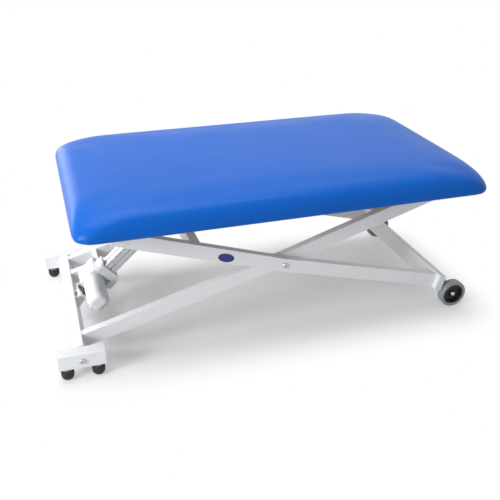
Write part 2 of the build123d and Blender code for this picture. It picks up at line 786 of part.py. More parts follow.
# Gear housing, motor housing and the seam between them
gear_mid_s = gear_start + gear_l / 2
gear_mid_p = (gear_high - gear_low) / 2
with BuildPart() as gear_housing:
    with BuildSketch(side_plane(act_pivot_x, gear_far_y, act_pivot_z, act_slope)):
        with Locations((gear_mid_s, gear_mid_p)):
            RectangleRounded(gear_l, gear_high + gear_low, gear_corner)
    extrude(amount=gear_far_y - seam_y)
    far_edges = gear_housing.faces().sort_by(Axis.Y)[-1].edges()
    fillet(far_edges, gear_corner / 2)
    x, z = act_point(gear_l * bore_start_share, 0)
    with BuildSketch(end_plane(x, act_rod_y, z, act_slope)):
        Circle(guide_bore_r)
    extrude(amount=gear_l, mode=Mode.SUBTRACT)
keep(gear_housing, "gear_housing")

with BuildPart() as seam:
    with BuildSketch(side_plane(act_pivot_x, seam_y, act_pivot_z, act_slope)):
        with Locations((motor_center_s, motor_center_p)):
            RectangleRounded(
                motor_side - 2 * seam_inset, motor_side - 2 * seam_inset, motor_corner - seam_inset
            )
    extrude(amount=seam_t)
keep(seam, "housing_seal")

with BuildPart() as motor_housing:
    with BuildSketch(side_plane(act_pivot_x, seam_y - seam_t, act_pivot_z, act_slope)):
        with Locations((motor_center_s, motor_center_p)):
            RectangleRounded(motor_side, motor_side, motor_corner)
    extrude(amount=seam_y - seam_t - motor_end_y)
    fillet(motor_housing.faces().sort_by(Axis.Y)[0].edges(), motor_dome)
keep(motor_housing, "motor_housing")

with BuildPart() as motor_studs:
    motor_x, motor_z = act_point(motor_center_s, motor_center_p)
    for out_x, out_z in ((-act_axis[0], -act_axis[2]), (act_axis[2], -act_axis[0])):
        stud_place = (
            motor_x + motor_side / 2 * out_x,
            motor_end_y + motor_dome + motor_stud_l,
            motor_z + motor_side / 2 * out_z,
        )
        with BuildSketch(Plane(origin=stud_place, x_dir=(0, 1, 0), z_dir=(out_x, 0, out_z))):
            Circle(motor_stud_r)
        extrude(amount=motor_stud_l)
keep(motor_studs, "motor_studs")

with BuildPart() as cable_gland:
    x, z = act_point(gear_mid_s, gear_mid_p)
    with BuildSketch(side_plane(x, gear_far_y + gland_l / 2, z)):
        RegularPolygon(gland_r, 6)
    extrude(amount=gland_l / 2)
    with BuildSketch(side_plane(x, gear_far_y + gland_l, z)):
        Circle(gland_r * gland_nose_share)
        Circle(gland_r * gland_bore_share, mode=Mode.SUBTRACT)
    extrude(amount=gland_l / 2)
keep(cable_gland, "cable_gland")

# Gear block that turns the drive into the guide, with its cover plate and screws
with BuildPart() as gear_block:
    gear_end = gear_start + gear_l
    with BuildSketch(side_plane(act_pivot_x, block_far_y, act_pivot_z, act_slope)):
        with BuildLine():
            Polyline(
                (block_start, -gear_low),
                (gear_end, -gear_low),
                (gear_end, block_high),
                (block_end, block_high),
                (block_end, -gear_low - (block_low - gear_low) / 2),
                (block_end - gear_corner * 2, -block_low),
                (block_start + gear_corner, -block_low),
                close=True,
            )
        make_face()
    extrude(amount=block_far_y - block_near_y)
    x, z = act_point(gear_end - overrun, 0)
    with BuildSketch(end_plane(x, act_rod_y, z, act_slope)):
        Circle(guide_bore_r)
    extrude(amount=block_end, mode=Mode.SUBTRACT)
keep(gear_block, "gear_block")

flange_y = (block_near_y + block_far_y) / 2
x, z = act_point(gear_end + bore_gap, block_high)
flange_plane = Plane(
    origin=(x, flange_y, z),
    x_dir=act_axis,
    z_dir=(-sin(radians(act_slope)), 0, cos(radians(act_slope))),
)
with BuildPart() as flange:
    with BuildSketch(flange_plane):
        with Locations((flange_l / 2, 0)):
            RectangleRounded(flange_l, flange_w, tube_corner)
    extrude(amount=flange_t)
keep(flange, "gear_cover")

with BuildPart() as flange_screws:
    with BuildSketch(flange_plane.offset(flange_t)):
        with Locations((flange_l / 2, 0)):
            with GridLocations(flange_l * screw_along_share, flange_w * screw_across_share, 2, 3):
                Circle(flange_screw_r)
    extrude(amount=flange_screw_t)
keep(flange_screws, "cover_screws")

# Guide: slotted profile in which the push rod slides
guide_l = guide_end - block_end
with BuildPart() as guide:
    x, z = act_point(block_end, -2 * bore_gap)
    with BuildSketch(end_plane(x, act_rod_y, z, act_slope)):
        RectangleRounded(guide_w, guide_h, tube_corner / 2)
        Circle(guide_bore_r, mode=Mode.SUBTRACT)
        for way in (-1, 1):
            with Locations((way * (guide_w - guide_slot_t) / 2, 0)):
                Rectangle(guide_slot_t + overrun, guide_slot_w, mode=Mode.SUBTRACT)
            with Locations((0, way * (guide_h - guide_slot_t) / 2)):
                Rectangle(guide_slot_w, guide_slot_t + overrun, mode=Mode.SUBTRACT)
            for up in (-1, 1):
                with Locations((way * (guide_w - guide_lip_t) / 2, up * guide_h * guide_lip_share)):
                    Rectangle(guide_lip_t + overrun, guide_lip_t, mode=Mode.SUBTRACT)
    extrude(amount=guide_l)
keep(guide, "guide_profile")

with BuildPart() as guide_cap:
    x, z = act_point(guide_end, 0)
    with BuildSketch(end_plane(x, act_rod_y, z, act_slope)):
        RectangleRounded(guide_w, guide_h, tube_corner)
        Circle(rod_r + bore_gap, mode=Mode.SUBTRACT)
    extrude(amount=guide_cap_t)
keep(guide_cap, "guide_end_cap")

with BuildPart() as guide_lug:
    x, z = act_point(guide_lug_s, guide_h / 2)
    with BuildSketch(side_plane(x, act_rod_y + guide_lug_w / 2, z, act_slope)):
        with BuildLine():
            Polyline(
                (0, 0),
                (0, guide_lug_h),
                (guide_lug_l * guide_lug_flat_share, guide_lug_h),
                (guide_lug_l, guide_lug_h * guide_lug_drop_share),
                (guide_lug_l, 0),
                close=True,
            )
        make_face()
    extrude(amount=guide_lug_w)
keep(guide_lug, "guide_switch_housing")

# Push rod with its eye and front pin
with BuildPart() as push_rod:
    x, z = act_point(rod_tail_s, 0)
    with BuildSketch(end_plane(x, act_rod_y, z, act_slope)):
        Circle(rod_r)
    extrude(amount=rod_pin_s - rod_eye_r - rod_tail_s)
keep(push_rod, "push_rod")

with BuildPart() as rod_eye:
    with BuildSketch(side_plane(pin_x, act_rod_y + rod_eye_w / 2, pin_z, act_slope)):
        Circle(rod_eye_r)
        with Locations((-rod_eye_r / 2, 0)):
            Rectangle(rod_eye_r, 2 * rod_r)
        Circle(rod_pin_r + bore_gap, mode=Mode.SUBTRACT)
    extrude(amount=rod_eye_w)
keep(rod_eye, "rod_eye")

front_pin_half = rod_eye_w / 2 + gap + lug_t + gap + washer_t
with BuildPart() as rod_pin:
    with BuildSketch(side_plane(pin_x, act_rod_y + front_pin_half, pin_z)):
        Circle(rod_pin_r)
    extrude(amount=2 * front_pin_half)
    for y in (act_rod_y + front_pin_half, act_rod_y - front_pin_half + washer_t):
        with BuildSketch(side_plane(pin_x, y, pin_z)):
            Circle(lug_slot_w / 2 + washer_t)
        extrude(amount=washer_t)
keep(rod_pin, "rod_front_pin")

# Roller axles and rollers at the upper ends of the inner arms
roller_in_y = rail_in_y - channel_wall - gap - roller_w
for name, side in sides.items():
    with BuildPart() as roller:
        y = frame_y + max(side * roller_in_y, side * (roller_in_y + roller_w))
        with BuildSketch(side_plane(roller_x, y, roller_z)):
            Circle(roller_r)
            Circle(axle_r + bore_gap, mode=Mode.SUBTRACT)
        extrude(amount=roller_w)
        chamfer(roller.edges().filter_by(GeomType.CIRCLE).group_by(SortBy.RADIUS)[-1], end_cap_t / 2)
    keep(roller, f"roller_{name}")

with BuildPart() as roller_axles:
    for side in sides.values():
        inside = frame_y + side * (inner_face_y - arm_w - nut_t)
        outside = frame_y + side * (roller_in_y + roller_w)
        shoulder = frame_y + side * inner_face_y
        with BuildSketch(side_plane(roller_x, max(inside, outside), roller_z)):
            Circle(axle_r)
        extrude(amount=abs(outside - inside))
        with BuildSketch(side_plane(roller_x, max(inside, inside + side * nut_t), roller_z)):
            RegularPolygon(2 * axle_r, 6)
        extrude(amount=nut_t)
        collar = frame_y + side * (roller_in_y - gap)
        with BuildSketch(side_plane(roller_x, max(shoulder, collar), roller_z)):
            Circle(axle_r + arm_wall)
        extrude(amount=abs(collar - shoulder))
keep(roller_axles, "roller_axles")

# Top frame: side rails, end rails and cross rails
with BuildPart() as side_rails:
    with BuildSketch(Plane.YZ.offset(rail_start_x)):
        for side in sides.values():
            with Locations((frame_y + side * (rail_in_y + rail_w / 2), top_z - rail_h / 2)):
                Rectangle(rail_w, rail_h)
                Rectangle(rail_w - 2 * rail_wall, rail_h - 2 * rail_wall, mode=Mode.SUBTRACT)
    extrude(amount=rail_end_x - rail_start_x)
keep(side_rails, "side_rails")

with BuildPart() as end_rails:
    for x in (rail_start_x + rail_w / 2, rail_end_x - rail_w / 2):
        with BuildSketch(side_plane(x, frame_y + rail_in_y, top_z - rail_h / 2)):
            Rectangle(rail_w, rail_h)
            Rectangle(rail_w - 2 * rail_wall, rail_h - 2 * rail_wall, mode=Mode.SUBTRACT)
        extrude(amount=2 * rail_in_y)
keep(end_rails, "end_rails")

with BuildPart() as cross_rails:
    for x in (top_x - cross_rail_spacing / 2, top_x + cross_rail_spacing / 2):
        with BuildSketch(side_plane(x, frame_y + rail_in_y, top_z - cross_rail_h / 2)):
            Rectangle(cross_rail_h, cross_rail_h)
            Rectangle(cross_rail_h - 2 * rail_wall, cross_rail_h - 2 * rail_wall, mode=Mode.SUBTRACT)
        extrude(amount=2 * rail_in_y)
keep(cross_rails, "cross_rails")

# Hinge plates that hang from the side rails, with a bolt through each outer arm
with BuildPart() as hinge_plates:
    for side in sides.values():
        plate_y = frame_y + max(side * rail_in_y, side * (rail_in_y - hinge_plate_t))
        with BuildSketch(side_plane(0, plate_y, 0)):
            with BuildLine():
                Polyline(
                    (hinge_x - hinge_plate_w / 2, top_z - overrun),
                    (hinge_x + hinge_plate_w / 2, top_z - overrun),
                    (hinge_x + bush_r + arm_wall, hinge_z),
                    (hinge_x - bush_r - arm_wall, hinge_z),
                    close=True,
                )
            make_face()
            with Locations((hinge_x, hinge_z)):
                Circle(bush_r + arm_wall)
                Circle(shaft_r + bore_gap, mode=Mode.SUBTRACT)
        extrude(amount=hinge_plate_t)
keep(hinge_plates, "hinge_plates")

with BuildPart() as hinge_bolts:
    for side in sides.values():
        inside = frame_y + side * (outer_face_y - arm_w - nut_t)
        face = frame_y + side * rail_in_y
        with BuildSketch(side_plane(hinge_x, max(inside, face), hinge_z)):
            Circle(shaft_r)
        extrude(amount=abs(face - inside))
        with BuildSketch(side_plane(hinge_x, max(inside, inside + side * (nut_t - gap)), hinge_z)):
            RegularPolygon(head_r, 6)
        extrude(amount=nut_t - gap)
keep(hinge_bolts, "hinge_bolts")

# Channels in which the rollers run
channel_half = roller_r + gap + channel_wall
channel_x = rail_end_x - rail_w - channel_l
with BuildPart() as channels:
    with BuildSketch(Plane.YZ.offset(channel_x)):
        for side in sides.values():
            with Locations((frame_y + side * (rail_in_y - channel_depth / 2), roller_z)):
                Rectangle(channel_depth, 2 * channel_half)
            with Locations((frame_y + side * (rail_in_y - channel_wall - channel_depth / 2), roller_z)):
                Rectangle(channel_depth, 2 * (roller_r + gap), mode=Mode.SUBTRACT)
    extrude(amount=channel_l)
keep(channels, "roller_channels")

# Board under the cushion
board_l = top_l - 2 * (board_inset + cushion_under_in)
board_w = top_w - 2 * (board_inset + cushion_under_in)
board_corner = cushion_corner_r - board_inset - cushion_under_in
with BuildPart() as board:
    with BuildSketch(Plane.XY.offset(top_z)):
        with Locations((top_x, 0)):
            RectangleRounded(board_l - 2 * gap, board_w - 2 * gap, board_corner - gap)
    extrude(amount=board_t)
keep(board, "top_board")


def cushion_inset(z_share):
    """How far the side lies inside the widest outline at a share of the roll's height."""
    return cushion_roll_in * (1 - (1 - z_share**2) ** 0.5)


# Cushion: rolled over its edges, drawn in under them and crowned on top
roll_shares = (0.0, 0.35, 0.62, 0.82, 0.94, 0.995)
levels = [(0.0, cushion_under_in)]
for share in roll_shares:
    rise = cushion_t - cushion_roll_h + share * cushion_roll_h
    if share == 0.0:
        rise = cushion_under_h
    levels.append((rise, cushion_inset(share)))
levels.append((cushion_t + cushion_crown * crown_rise_share, cushion_roll_in + crown_inset * crown_step_share))
levels.append((cushion_t + cushion_crown, cushion_roll_in + crown_inset))
with BuildPart() as cushion:
    for rise, inset in levels:
        with BuildSketch(Plane.XY.offset(top_z + rise)):
            with Locations((top_x, 0)):
                rolled = min(inset, cushion_roll_in)
                corner = cushion_corner_r + rolled * cushion_corner_growth
                corner -= (inset - rolled) * crown_corner_share
                RectangleRounded(top_l - 2 * inset, top_w - 2 * inset, corner)
    loft(ruled=True)
    with BuildSketch(Plane.XY.offset(top_z - overrun)):
        with Locations((top_x, 0)):
            RectangleRounded(board_l, board_w, board_corner)
    extrude(amount=board_t + overrun, mode=Mode.SUBTRACT)
keep(cushion, "cushion")
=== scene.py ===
"""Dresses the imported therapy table: the finish of each piece, the padded cover of its top with its hem and
staples, the weld beads, a plain oval mark, and the studio that the table stands in."""

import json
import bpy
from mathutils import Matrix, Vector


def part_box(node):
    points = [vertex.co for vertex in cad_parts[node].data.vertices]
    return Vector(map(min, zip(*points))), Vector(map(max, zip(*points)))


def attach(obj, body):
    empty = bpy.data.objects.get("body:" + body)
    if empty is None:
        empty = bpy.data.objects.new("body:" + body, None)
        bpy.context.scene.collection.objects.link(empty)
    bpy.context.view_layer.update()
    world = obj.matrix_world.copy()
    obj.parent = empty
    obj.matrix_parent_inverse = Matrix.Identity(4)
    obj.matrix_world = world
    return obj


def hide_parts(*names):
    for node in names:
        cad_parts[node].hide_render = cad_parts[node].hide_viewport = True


bl_info = {
    "name": "Therapy Table",
    "version": (1, 0, 0),
    "blender": (4, 5, 0),
    "location": "View3D > Sidebar > Therapy Table",
    "description": "Padded cover, finishes, welds and studio for a height-adjustable therapy table",
    "category": "Add Mesh",
}

from math import atan2, cos, hypot, pi, radians, sin

import bmesh
import bpy
from mathutils import Matrix, Vector

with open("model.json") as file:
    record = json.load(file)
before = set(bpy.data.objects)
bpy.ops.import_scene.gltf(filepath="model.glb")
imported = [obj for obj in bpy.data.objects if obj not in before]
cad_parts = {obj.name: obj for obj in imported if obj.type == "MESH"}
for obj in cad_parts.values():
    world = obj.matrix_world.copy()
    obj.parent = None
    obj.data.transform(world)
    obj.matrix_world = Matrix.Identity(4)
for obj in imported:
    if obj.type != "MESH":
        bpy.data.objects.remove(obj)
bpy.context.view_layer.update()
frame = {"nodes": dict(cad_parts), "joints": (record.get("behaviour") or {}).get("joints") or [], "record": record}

MM = 0.001


def box_middle(node):
    """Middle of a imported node's box."""
    low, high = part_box(node)
    return (low + high) / 2


def joint_place(name):
    """Place of a packed joint."""
    return Vector(next(row["pos_m"] for row in frame["joints"] if row["name"] == name))


# The top and its board, as packed
CUSHION_LOW, CUSHION_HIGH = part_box("cushion")
CUSHION_MIDDLE = box_middle("cushion")
BOARD_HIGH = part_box("top_board")[1]

# Lines of the scissor, as packed: each slope is the angle of an arm's part above the floor
BASE_PIVOT = joint_place("lift")
MID_PIVOT = joint_place("cross")
TOP_HINGE = joint_place("top_hinge")
AXLE_BEAM = box_middle("axle_beam")
NEAR_ARM_LOW, NEAR_ARM_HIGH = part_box("outer_arm_near")
UPPER_SLOPE = atan2(TOP_HINGE.z - MID_PIVOT.z, MID_PIVOT.x - TOP_HINGE.x)
INNER_LOWER_SLOPE = atan2(MID_PIVOT.z - BASE_PIVOT.z, MID_PIVOT.x - BASE_PIVOT.x)
OUTER_LOWER_SLOPE = atan2(MID_PIVOT.z - AXLE_BEAM.z, AXLE_BEAM.x - MID_PIVOT.x)

# Sections of the tubes, in metres
ARM_WIDTH = NEAR_ARM_HIGH.y - NEAR_ARM_LOW.y
ARM_HEIGHT = 0.052
CROSSBEAM_DEPTH = 0.040
AXLE_BEAM_DEPTH = 0.027
CROSS_TUBE = 0.040

# Section of the cover: rises above the underside and insets of its drooping lower edge, in millimetres, then
# the steps of its quarter-round roll, and the shares of the crown's reach
LOWER_EDGE = ((-4.5, 11.0), (-3.8, 6.2), (0.5, 2.2), (7.0, 0.5), (16.0, 0.0))
LOWER_EDGE_TOP = LOWER_EDGE[-1][0] * MM
ROLL_STEPS = 14
ROLL_FIRST_STEP = 3
CROWN_SHARES = (0.1, 0.25, 0.45, 0.7, 1.0)
BOARD_GAP = 0.0003

# Simulated padding of the cover
PADDING = {
    "quality": 4,
    "mass": 0.4,
    "tension_stiffness": 40.0,
    "compression_stiffness": 40.0,
    "bending_stiffness": 30.0,
    "use_pressure": True,
    "uniform_pressure_force": 4.0,
}

# Gathers of the cover at its corners: waves for each radian, and their drift for each metre
PLEAT_REACH = 0.034
PLEAT_LOW = 0.001
PLEAT_DEPTH = 0.0011
PLEAT_START_SHARE = 0.75
PLEAT_WAVES = 34.0
PLEAT_DRIFT = 40.0

# The cover's hem and its staples
HEM_INSET = 0.020
HEM_THICKNESS = 0.0011
HEM_GAP = 0.0002
STAPLE_INSET = 0.012
STAPLE_DROP = 0.0002
STAPLE_SIZE = (0.0007, 0.0007, 0.010)

# Weld beads: share of the bead's width that one form is long, and that lies between two forms
BEAD_LENGTH_SHARE = 0.75
BEAD_SPACING_SHARE = 0.62

# The oval mark: share of its size and rise in millimetres, from its back over the rim to the plain field
MARK_RINGS = ((1.0, 0.0), (1.0, 0.5), (0.97, 0.9), (0.86, 1.0), (0.84, 0.6), (0.5, 0.6))
MARK_STEPS = 64
MARK_GAP = 0.0001

# Dust on the hard finishes thins out up to this height and keeps this share above it
DUST_HEIGHT = 0.16
DUST_ABOVE_SHARE = 0.12

# Height of one ply of the board
PLY_HEIGHT = 0.0015

# The studio: each lamp's name, place, point that it faces, size and power
LAMPS = (
    ("key_left", (-4.6, -2.0, 2.1), (-0.1, 0.0, 0.35), (2.0, 1.9), 206.0),
    ("overhead", (-0.6, 0.6, 3.3), (-0.1, 0.0, 0.4), (3.0, 2.4), 68.0),
    ("rim_left", (-2.3, 3.3, 1.0), (-0.5, 0.0, 0.5), (2.6, 1.5), 28.0),
)
FLOOR_HALF_SIDE = 12.0
FLOOR_DROP = 0.0004
SENSOR_WIDTH = 36.0
CAMERA_REACH = 100.0

# Places of the colour sockets on a Mix node, and how far apart nodes are laid out
MIX_FIRST_COLOUR, MIX_SECOND_COLOUR = 6, 7
NODE_SPACING = (180, 160)
NODE_ROWS = 4


def linear(red, green, blue):
    """Linear colour with alpha from display values of 0 to 255."""
    shares = [value / 255 for value in (red, green, blue)]
    shares = [share / 12.92 if share <= 0.04045 else ((share + 0.055) / 1.055) ** 2.4 for share in shares]
    return shares + [1.0]


# Colours that materials have by themselves; FinishSettings holds those that a maker chooses
RUBBER = linear(20, 20, 22)
ZINC = linear(196, 199, 203)
POLISHED_STEEL = linear(214, 216, 220)
ALUMINIUM = linear(224, 226, 229)
VENEER = linear(168, 152, 128)
VENEER_DARK = linear(128, 110, 86)
PALE_DUST = linear(172, 168, 160)
PLASTIC_DUST = linear(60, 59, 57)
RUBBER_DUST = linear(84, 82, 78)
TYRE_DUST = linear(84, 83, 80)
WHITE = (1.0, 1.0, 1.0, 1.0)


class FinishSettings(bpy.types.PropertyGroup):
    """Colours that the table is ordered in."""

    cover: bpy.props.FloatVectorProperty(
        name="Cover", description="Coated cloth of the top", default=linear(13, 94, 190),
        size=4, subtype="COLOR",
    )
    # Cover Grain darkens the grain's pits as painted shade, and the cloth's slow darker patches as its own tone
    cover_deep: bpy.props.FloatVectorProperty(
        name="Cover Grain", description="Pits and darker patches of the cloth", default=linear(8, 70, 163),
        size=4, subtype="COLOR",
    )
    frame_coat: bpy.props.FloatVectorProperty(
        name="Frame Coat", description="Powder coat of the steel tubes", default=linear(235, 237, 240),
        size=4, subtype="COLOR",
    )
    white_plastic: bpy.props.FloatVectorProperty(
        name="White Plastic", description="Housings, caps and plugs", default=linear(226, 229, 234),
        size=4, subtype="COLOR",
    )
    grey_plastic: bpy.props.FloatVectorProperty(
        name="Grey Plastic", description="Gear block and ends of the drive", default=linear(220, 223, 225),
        size=4, subtype="COLOR",
    )
    black_plastic: bpy.props.FloatVectorProperty(
        name="Black Plastic", description="Wheel hubs, rollers and washers", default=linear(16, 16, 17),
        size=4, subtype="COLOR",
    )
    tyre: bpy.props.FloatVectorProperty(
        name="Tyre", description="Tread of the wheels", default=linear(142, 147, 152),
        size=4, subtype="COLOR",
    )
    mark: bpy.props.FloatVectorProperty(
        name="Mark", description="Enamel of the plain oval mark", default=linear(3, 20, 118),
        size=4, subtype="COLOR",
    )


class CushionSettings(bpy.types.PropertyGroup):
    """Sizes of the padded top."""

    length: bpy.props.FloatProperty(
        name="Length", description="Length of the top", default=CUSHION_HIGH.x - CUSHION_LOW.x,
        unit="LENGTH",
    )
    width: bpy.props.FloatProperty(
        name="Width", description="Width of the top", default=CUSHION_HIGH.y - CUSHION_LOW.y,
        unit="LENGTH",
    )
    underside: bpy.props.FloatProperty(
        name="Underside", description="Height of the cushion's underside", default=CUSHION_LOW.z,
        unit="LENGTH",
    )
    lip: bpy.props.FloatProperty(
        name="Lip", description="How far in the flat underside starts", default=0.0165, unit="LENGTH"
    )
    thickness: bpy.props.FloatProperty(
        name="Thickness", description="Thickness at the end of the rolled edge", default=0.0845,
        unit="LENGTH",
    )
    crown: bpy.props.FloatProperty(
        name="Crown", description="How far the middle stands above the rolled edge", default=0.0065,
        unit="LENGTH",
    )
    crown_reach: bpy.props.FloatProperty(
        name="Crown Reach", description="How far in the top goes on rising", default=0.150, unit="LENGTH"
    )
    ease: bpy.props.FloatProperty(
        name="Ease", description="How far the side stands out before it is smoothed", default=0.0050,
        unit="LENGTH",
    )
    corner: bpy.props.FloatProperty(
        name="Corner", description="Corner radius seen from above", default=0.064, unit="LENGTH"
    )
    corner_growth: bpy.props.FloatProperty(
        name="Corner Growth", description="What the corner radius gains for each metre of the roll's reach",
        default=3.45,
    )
    corner_loss: bpy.props.FloatProperty(
        name="Corner Loss", description="What it loses again for each metre of the crown's reach", default=0.9
    )
    roll: bpy.props.FloatProperty(
        name="Roll", description="How far the rolled edge reaches in", default=0.056, unit="LENGTH"
    )
    roll_height: bpy.props.FloatProperty(
        name="Roll Height", description="Height over which the edge rolls in", default=0.080, unit="LENGTH"
    )
    voxel: bpy.props.FloatProperty(
        name="Voxel", description="Size of the remeshed faces", default=0.0118, unit="LENGTH"
    )
    swell: bpy.props.FloatProperty(
        name="Swell", description="How far the padding may move a point", default=0.0025, unit="LENGTH"
    )
    frames: bpy.props.IntProperty(name="Frames", description="Steps of the simulated padding", default=20)
    smoothing: bpy.props.IntProperty(
        name="Smoothing", description="How often the padded form is smoothed", default=13
    )


class CoverSettings(bpy.types.PropertyGroup):
    """Sizes of what is fixed to the frame and the board."""

    hem: bpy.props.FloatProperty(
        name="Hem", description="Width of the cover's turned-in edge", default=0.036, unit="LENGTH"
    )
    staple_spacing: bpy.props.FloatProperty(
        name="Staple Spacing", description="Distance between staples", default=0.03, unit="LENGTH"
    )
    bead_size: bpy.props.FloatProperty(
        name="Weld Bead", description="Width of a weld bead", default=0.0055, unit="LENGTH"
    )
    mark_length: bpy.props.FloatProperty(
        name="Mark Length", description="Length of the plain oval mark", default=0.061, unit="LENGTH"
    )
    mark_height: bpy.props.FloatProperty(
        name="Mark Height", description="Height of the plain oval mark", default=0.033, unit="LENGTH"
    )
    mark_reach: bpy.props.FloatProperty(
        name="Mark Reach", description="How far up the arm the mark sits from the middle pivot",
        default=0.23323, unit="LENGTH",
    )
    mark_drop: bpy.props.FloatProperty(
        name="Mark Drop", description="How far the mark sits below the arm's line", default=0.00504,
        unit="LENGTH",
    )


class StudioSettings(bpy.types.PropertyGroup):
    """Camera, world and floor of the studio."""

    lens: bpy.props.FloatProperty(name="Lens", description="Focal length in millimetres", default=50.26)
    azimuth: bpy.props.FloatProperty(
        name="Azimuth", description="Turn of the camera round the table", default=radians(-17.6),
        subtype="ANGLE",
    )
    elevation: bpy.props.FloatProperty(
        name="Elevation", description="Angle of the camera above the horizon", default=radians(27.34),
        subtype="ANGLE",
    )
    roll: bpy.props.FloatProperty(
        name="Roll", description="Turn of the camera about its line of sight", default=radians(-0.25),
        subtype="ANGLE",
    )
    place: bpy.props.FloatVectorProperty(
        name="Place", description="Place of the camera", default=(-0.7713, -2.4290, 1.5129),
        subtype="TRANSLATION",
    )
    sky: bpy.props.FloatProperty(
        name="Sky", description="Light of the plain world on the table", default=0.42
    )
    floor: bpy.props.FloatVectorProperty(
        name="Floor", description="Colour of the floor", default=linear(212, 212, 213),
        size=4, subtype="COLOR",
    )
    floor_lift: bpy.props.FloatProperty(
        name="Floor Lift", description="How much paler the floor looks to the camera", default=0.2
    )
    floor_middle: bpy.props.FloatVectorProperty(
        name="Floor Middle", description="Middle of the floor under the table", default=(-0.03, -0.04, 0.0),
        subtype="TRANSLATION",
    )
    floor_half: bpy.props.FloatVectorProperty(
        name="Floor Half", description="Half of the floor that shows its shadow in full",
        default=(0.74, 0.27, 0.0), subtype="XYZ",
    )
    floor_fade: bpy.props.FloatProperty(
        name="Floor Fade", description="Distance over which the rest turns plain white", default=0.27,
        unit="LENGTH",
    )


class Wiring:
    """Adds nodes to one tree; an input given as a socket is linked, and any other value is set."""

    def __init__(self, tree):
        self.tree = tree
        self.column = 0

    def add(self, kind, inputs=None, **settings):
        """New node with its settings and inputs."""
        node = self.tree.nodes.new(kind)
        self.column += 1
        node.location = (self.column * NODE_SPACING[0], -(self.column % NODE_ROWS) * NODE_SPACING[1])
        for key, value in settings.items():
            setattr(node, key, value)
        for key, value in (inputs or {}).items():
            if isinstance(value, bpy.types.NodeSocket):
                self.tree.links.new(value, node.inputs[key])
            else:
                node.inputs[key].default_value = value
        return node

    def place(self):
        """Place on the piece in its own coordinates."""
        return self.add("ShaderNodeTexCoord").outputs["Object"]

    def maths(self, operation, first, second=0.0, clamp=False):
        """Result of one operation on numbers."""
        inputs = {0: first, 1: second}
        return self.add("ShaderNodeMath", inputs, operation=operation, use_clamp=clamp).outputs[0]

    def vector(self, operation, first, second=(0.0, 0.0, 0.0)):
        """Result of one operation on vectors."""
        return self.add("ShaderNodeVectorMath", {0: first, 1: second}, operation=operation).outputs["Vector"]

    def upward(self, vector):
        """Z of a vector."""
        return self.add("ShaderNodeSeparateXYZ", {0: vector}).outputs["Z"]

    def mix(self, share, first, second, blend="MIX"):
        """Two colours mixed by a share."""
        inputs = {0: share, MIX_FIRST_COLOUR: first, MIX_SECOND_COLOUR: second}
        return self.add("ShaderNodeMix", inputs, data_type="RGBA", blend_type=blend).outputs[2]

    def shaded(self, colour, value):
        """Colour times a number."""
        grey = self.add("ShaderNodeCombineColor", {0: value, 1: value, 2: value}).outputs[0]
        return self.mix(1.0, colour, grey, "MULTIPLY")

    def ramp(self, value, low, high, out_low=0.0, out_high=1.0):
        """Value eased from one range to another."""
        inputs = {0: value, 1: low, 2: high, 3: out_low, 4: out_high}
        return self.add("ShaderNodeMapRange", inputs, interpolation_type="SMOOTHSTEP").outputs[0]

    def noise(self, vector, scale, detail=3.0, roughness=0.5):
        """Cloudy pattern of 0 to 1."""
        inputs = {"Vector": vector, "Scale": scale, "Detail": detail, "Roughness": roughness}
        return self.add("ShaderNodeTexNoise", inputs).outputs["Fac"]

    def uneven(self, pattern, spread):
        """Pattern about zero, as wide as its spread."""
        return self.maths("MULTIPLY", self.maths("SUBTRACT", pattern, 0.5), spread)

    def bump(self, height, depth):
        """Normal of a surface with a relief of that depth."""
        inputs = {"Strength": 1.0, "Distance": depth, "Height": height}
        return self.add("ShaderNodeBump", inputs).outputs["Normal"]

    def surface(self, colour, roughness, normal):
        """Ends a shader group with what it puts out."""
        self.add("NodeGroupOutput", {"Color": colour, "Roughness": roughness, "Normal": normal})


def shader_group(name, inputs):
    """New shader group with a surface's outputs; returns its wiring and the sockets of its inputs."""
    kinds = {"c": "NodeSocketColor", "f": "NodeSocketFloat", "v": "NodeSocketVector"}
    tree = bpy.data.node_groups.new(name, "ShaderNodeTree")
    for label, kind, value in inputs:
        tree.interface.new_socket(label, in_out="INPUT", socket_type=kinds[kind]).default_value = value
    for label, kind in (("Color", "c"), ("Roughness", "f"), ("Normal", "v")):
        tree.interface.new_socket(label, in_out="OUTPUT", socket_type=kinds[kind])
    nodes = Wiring(tree)
    return nodes, nodes.add("NodeGroupInput").outputs


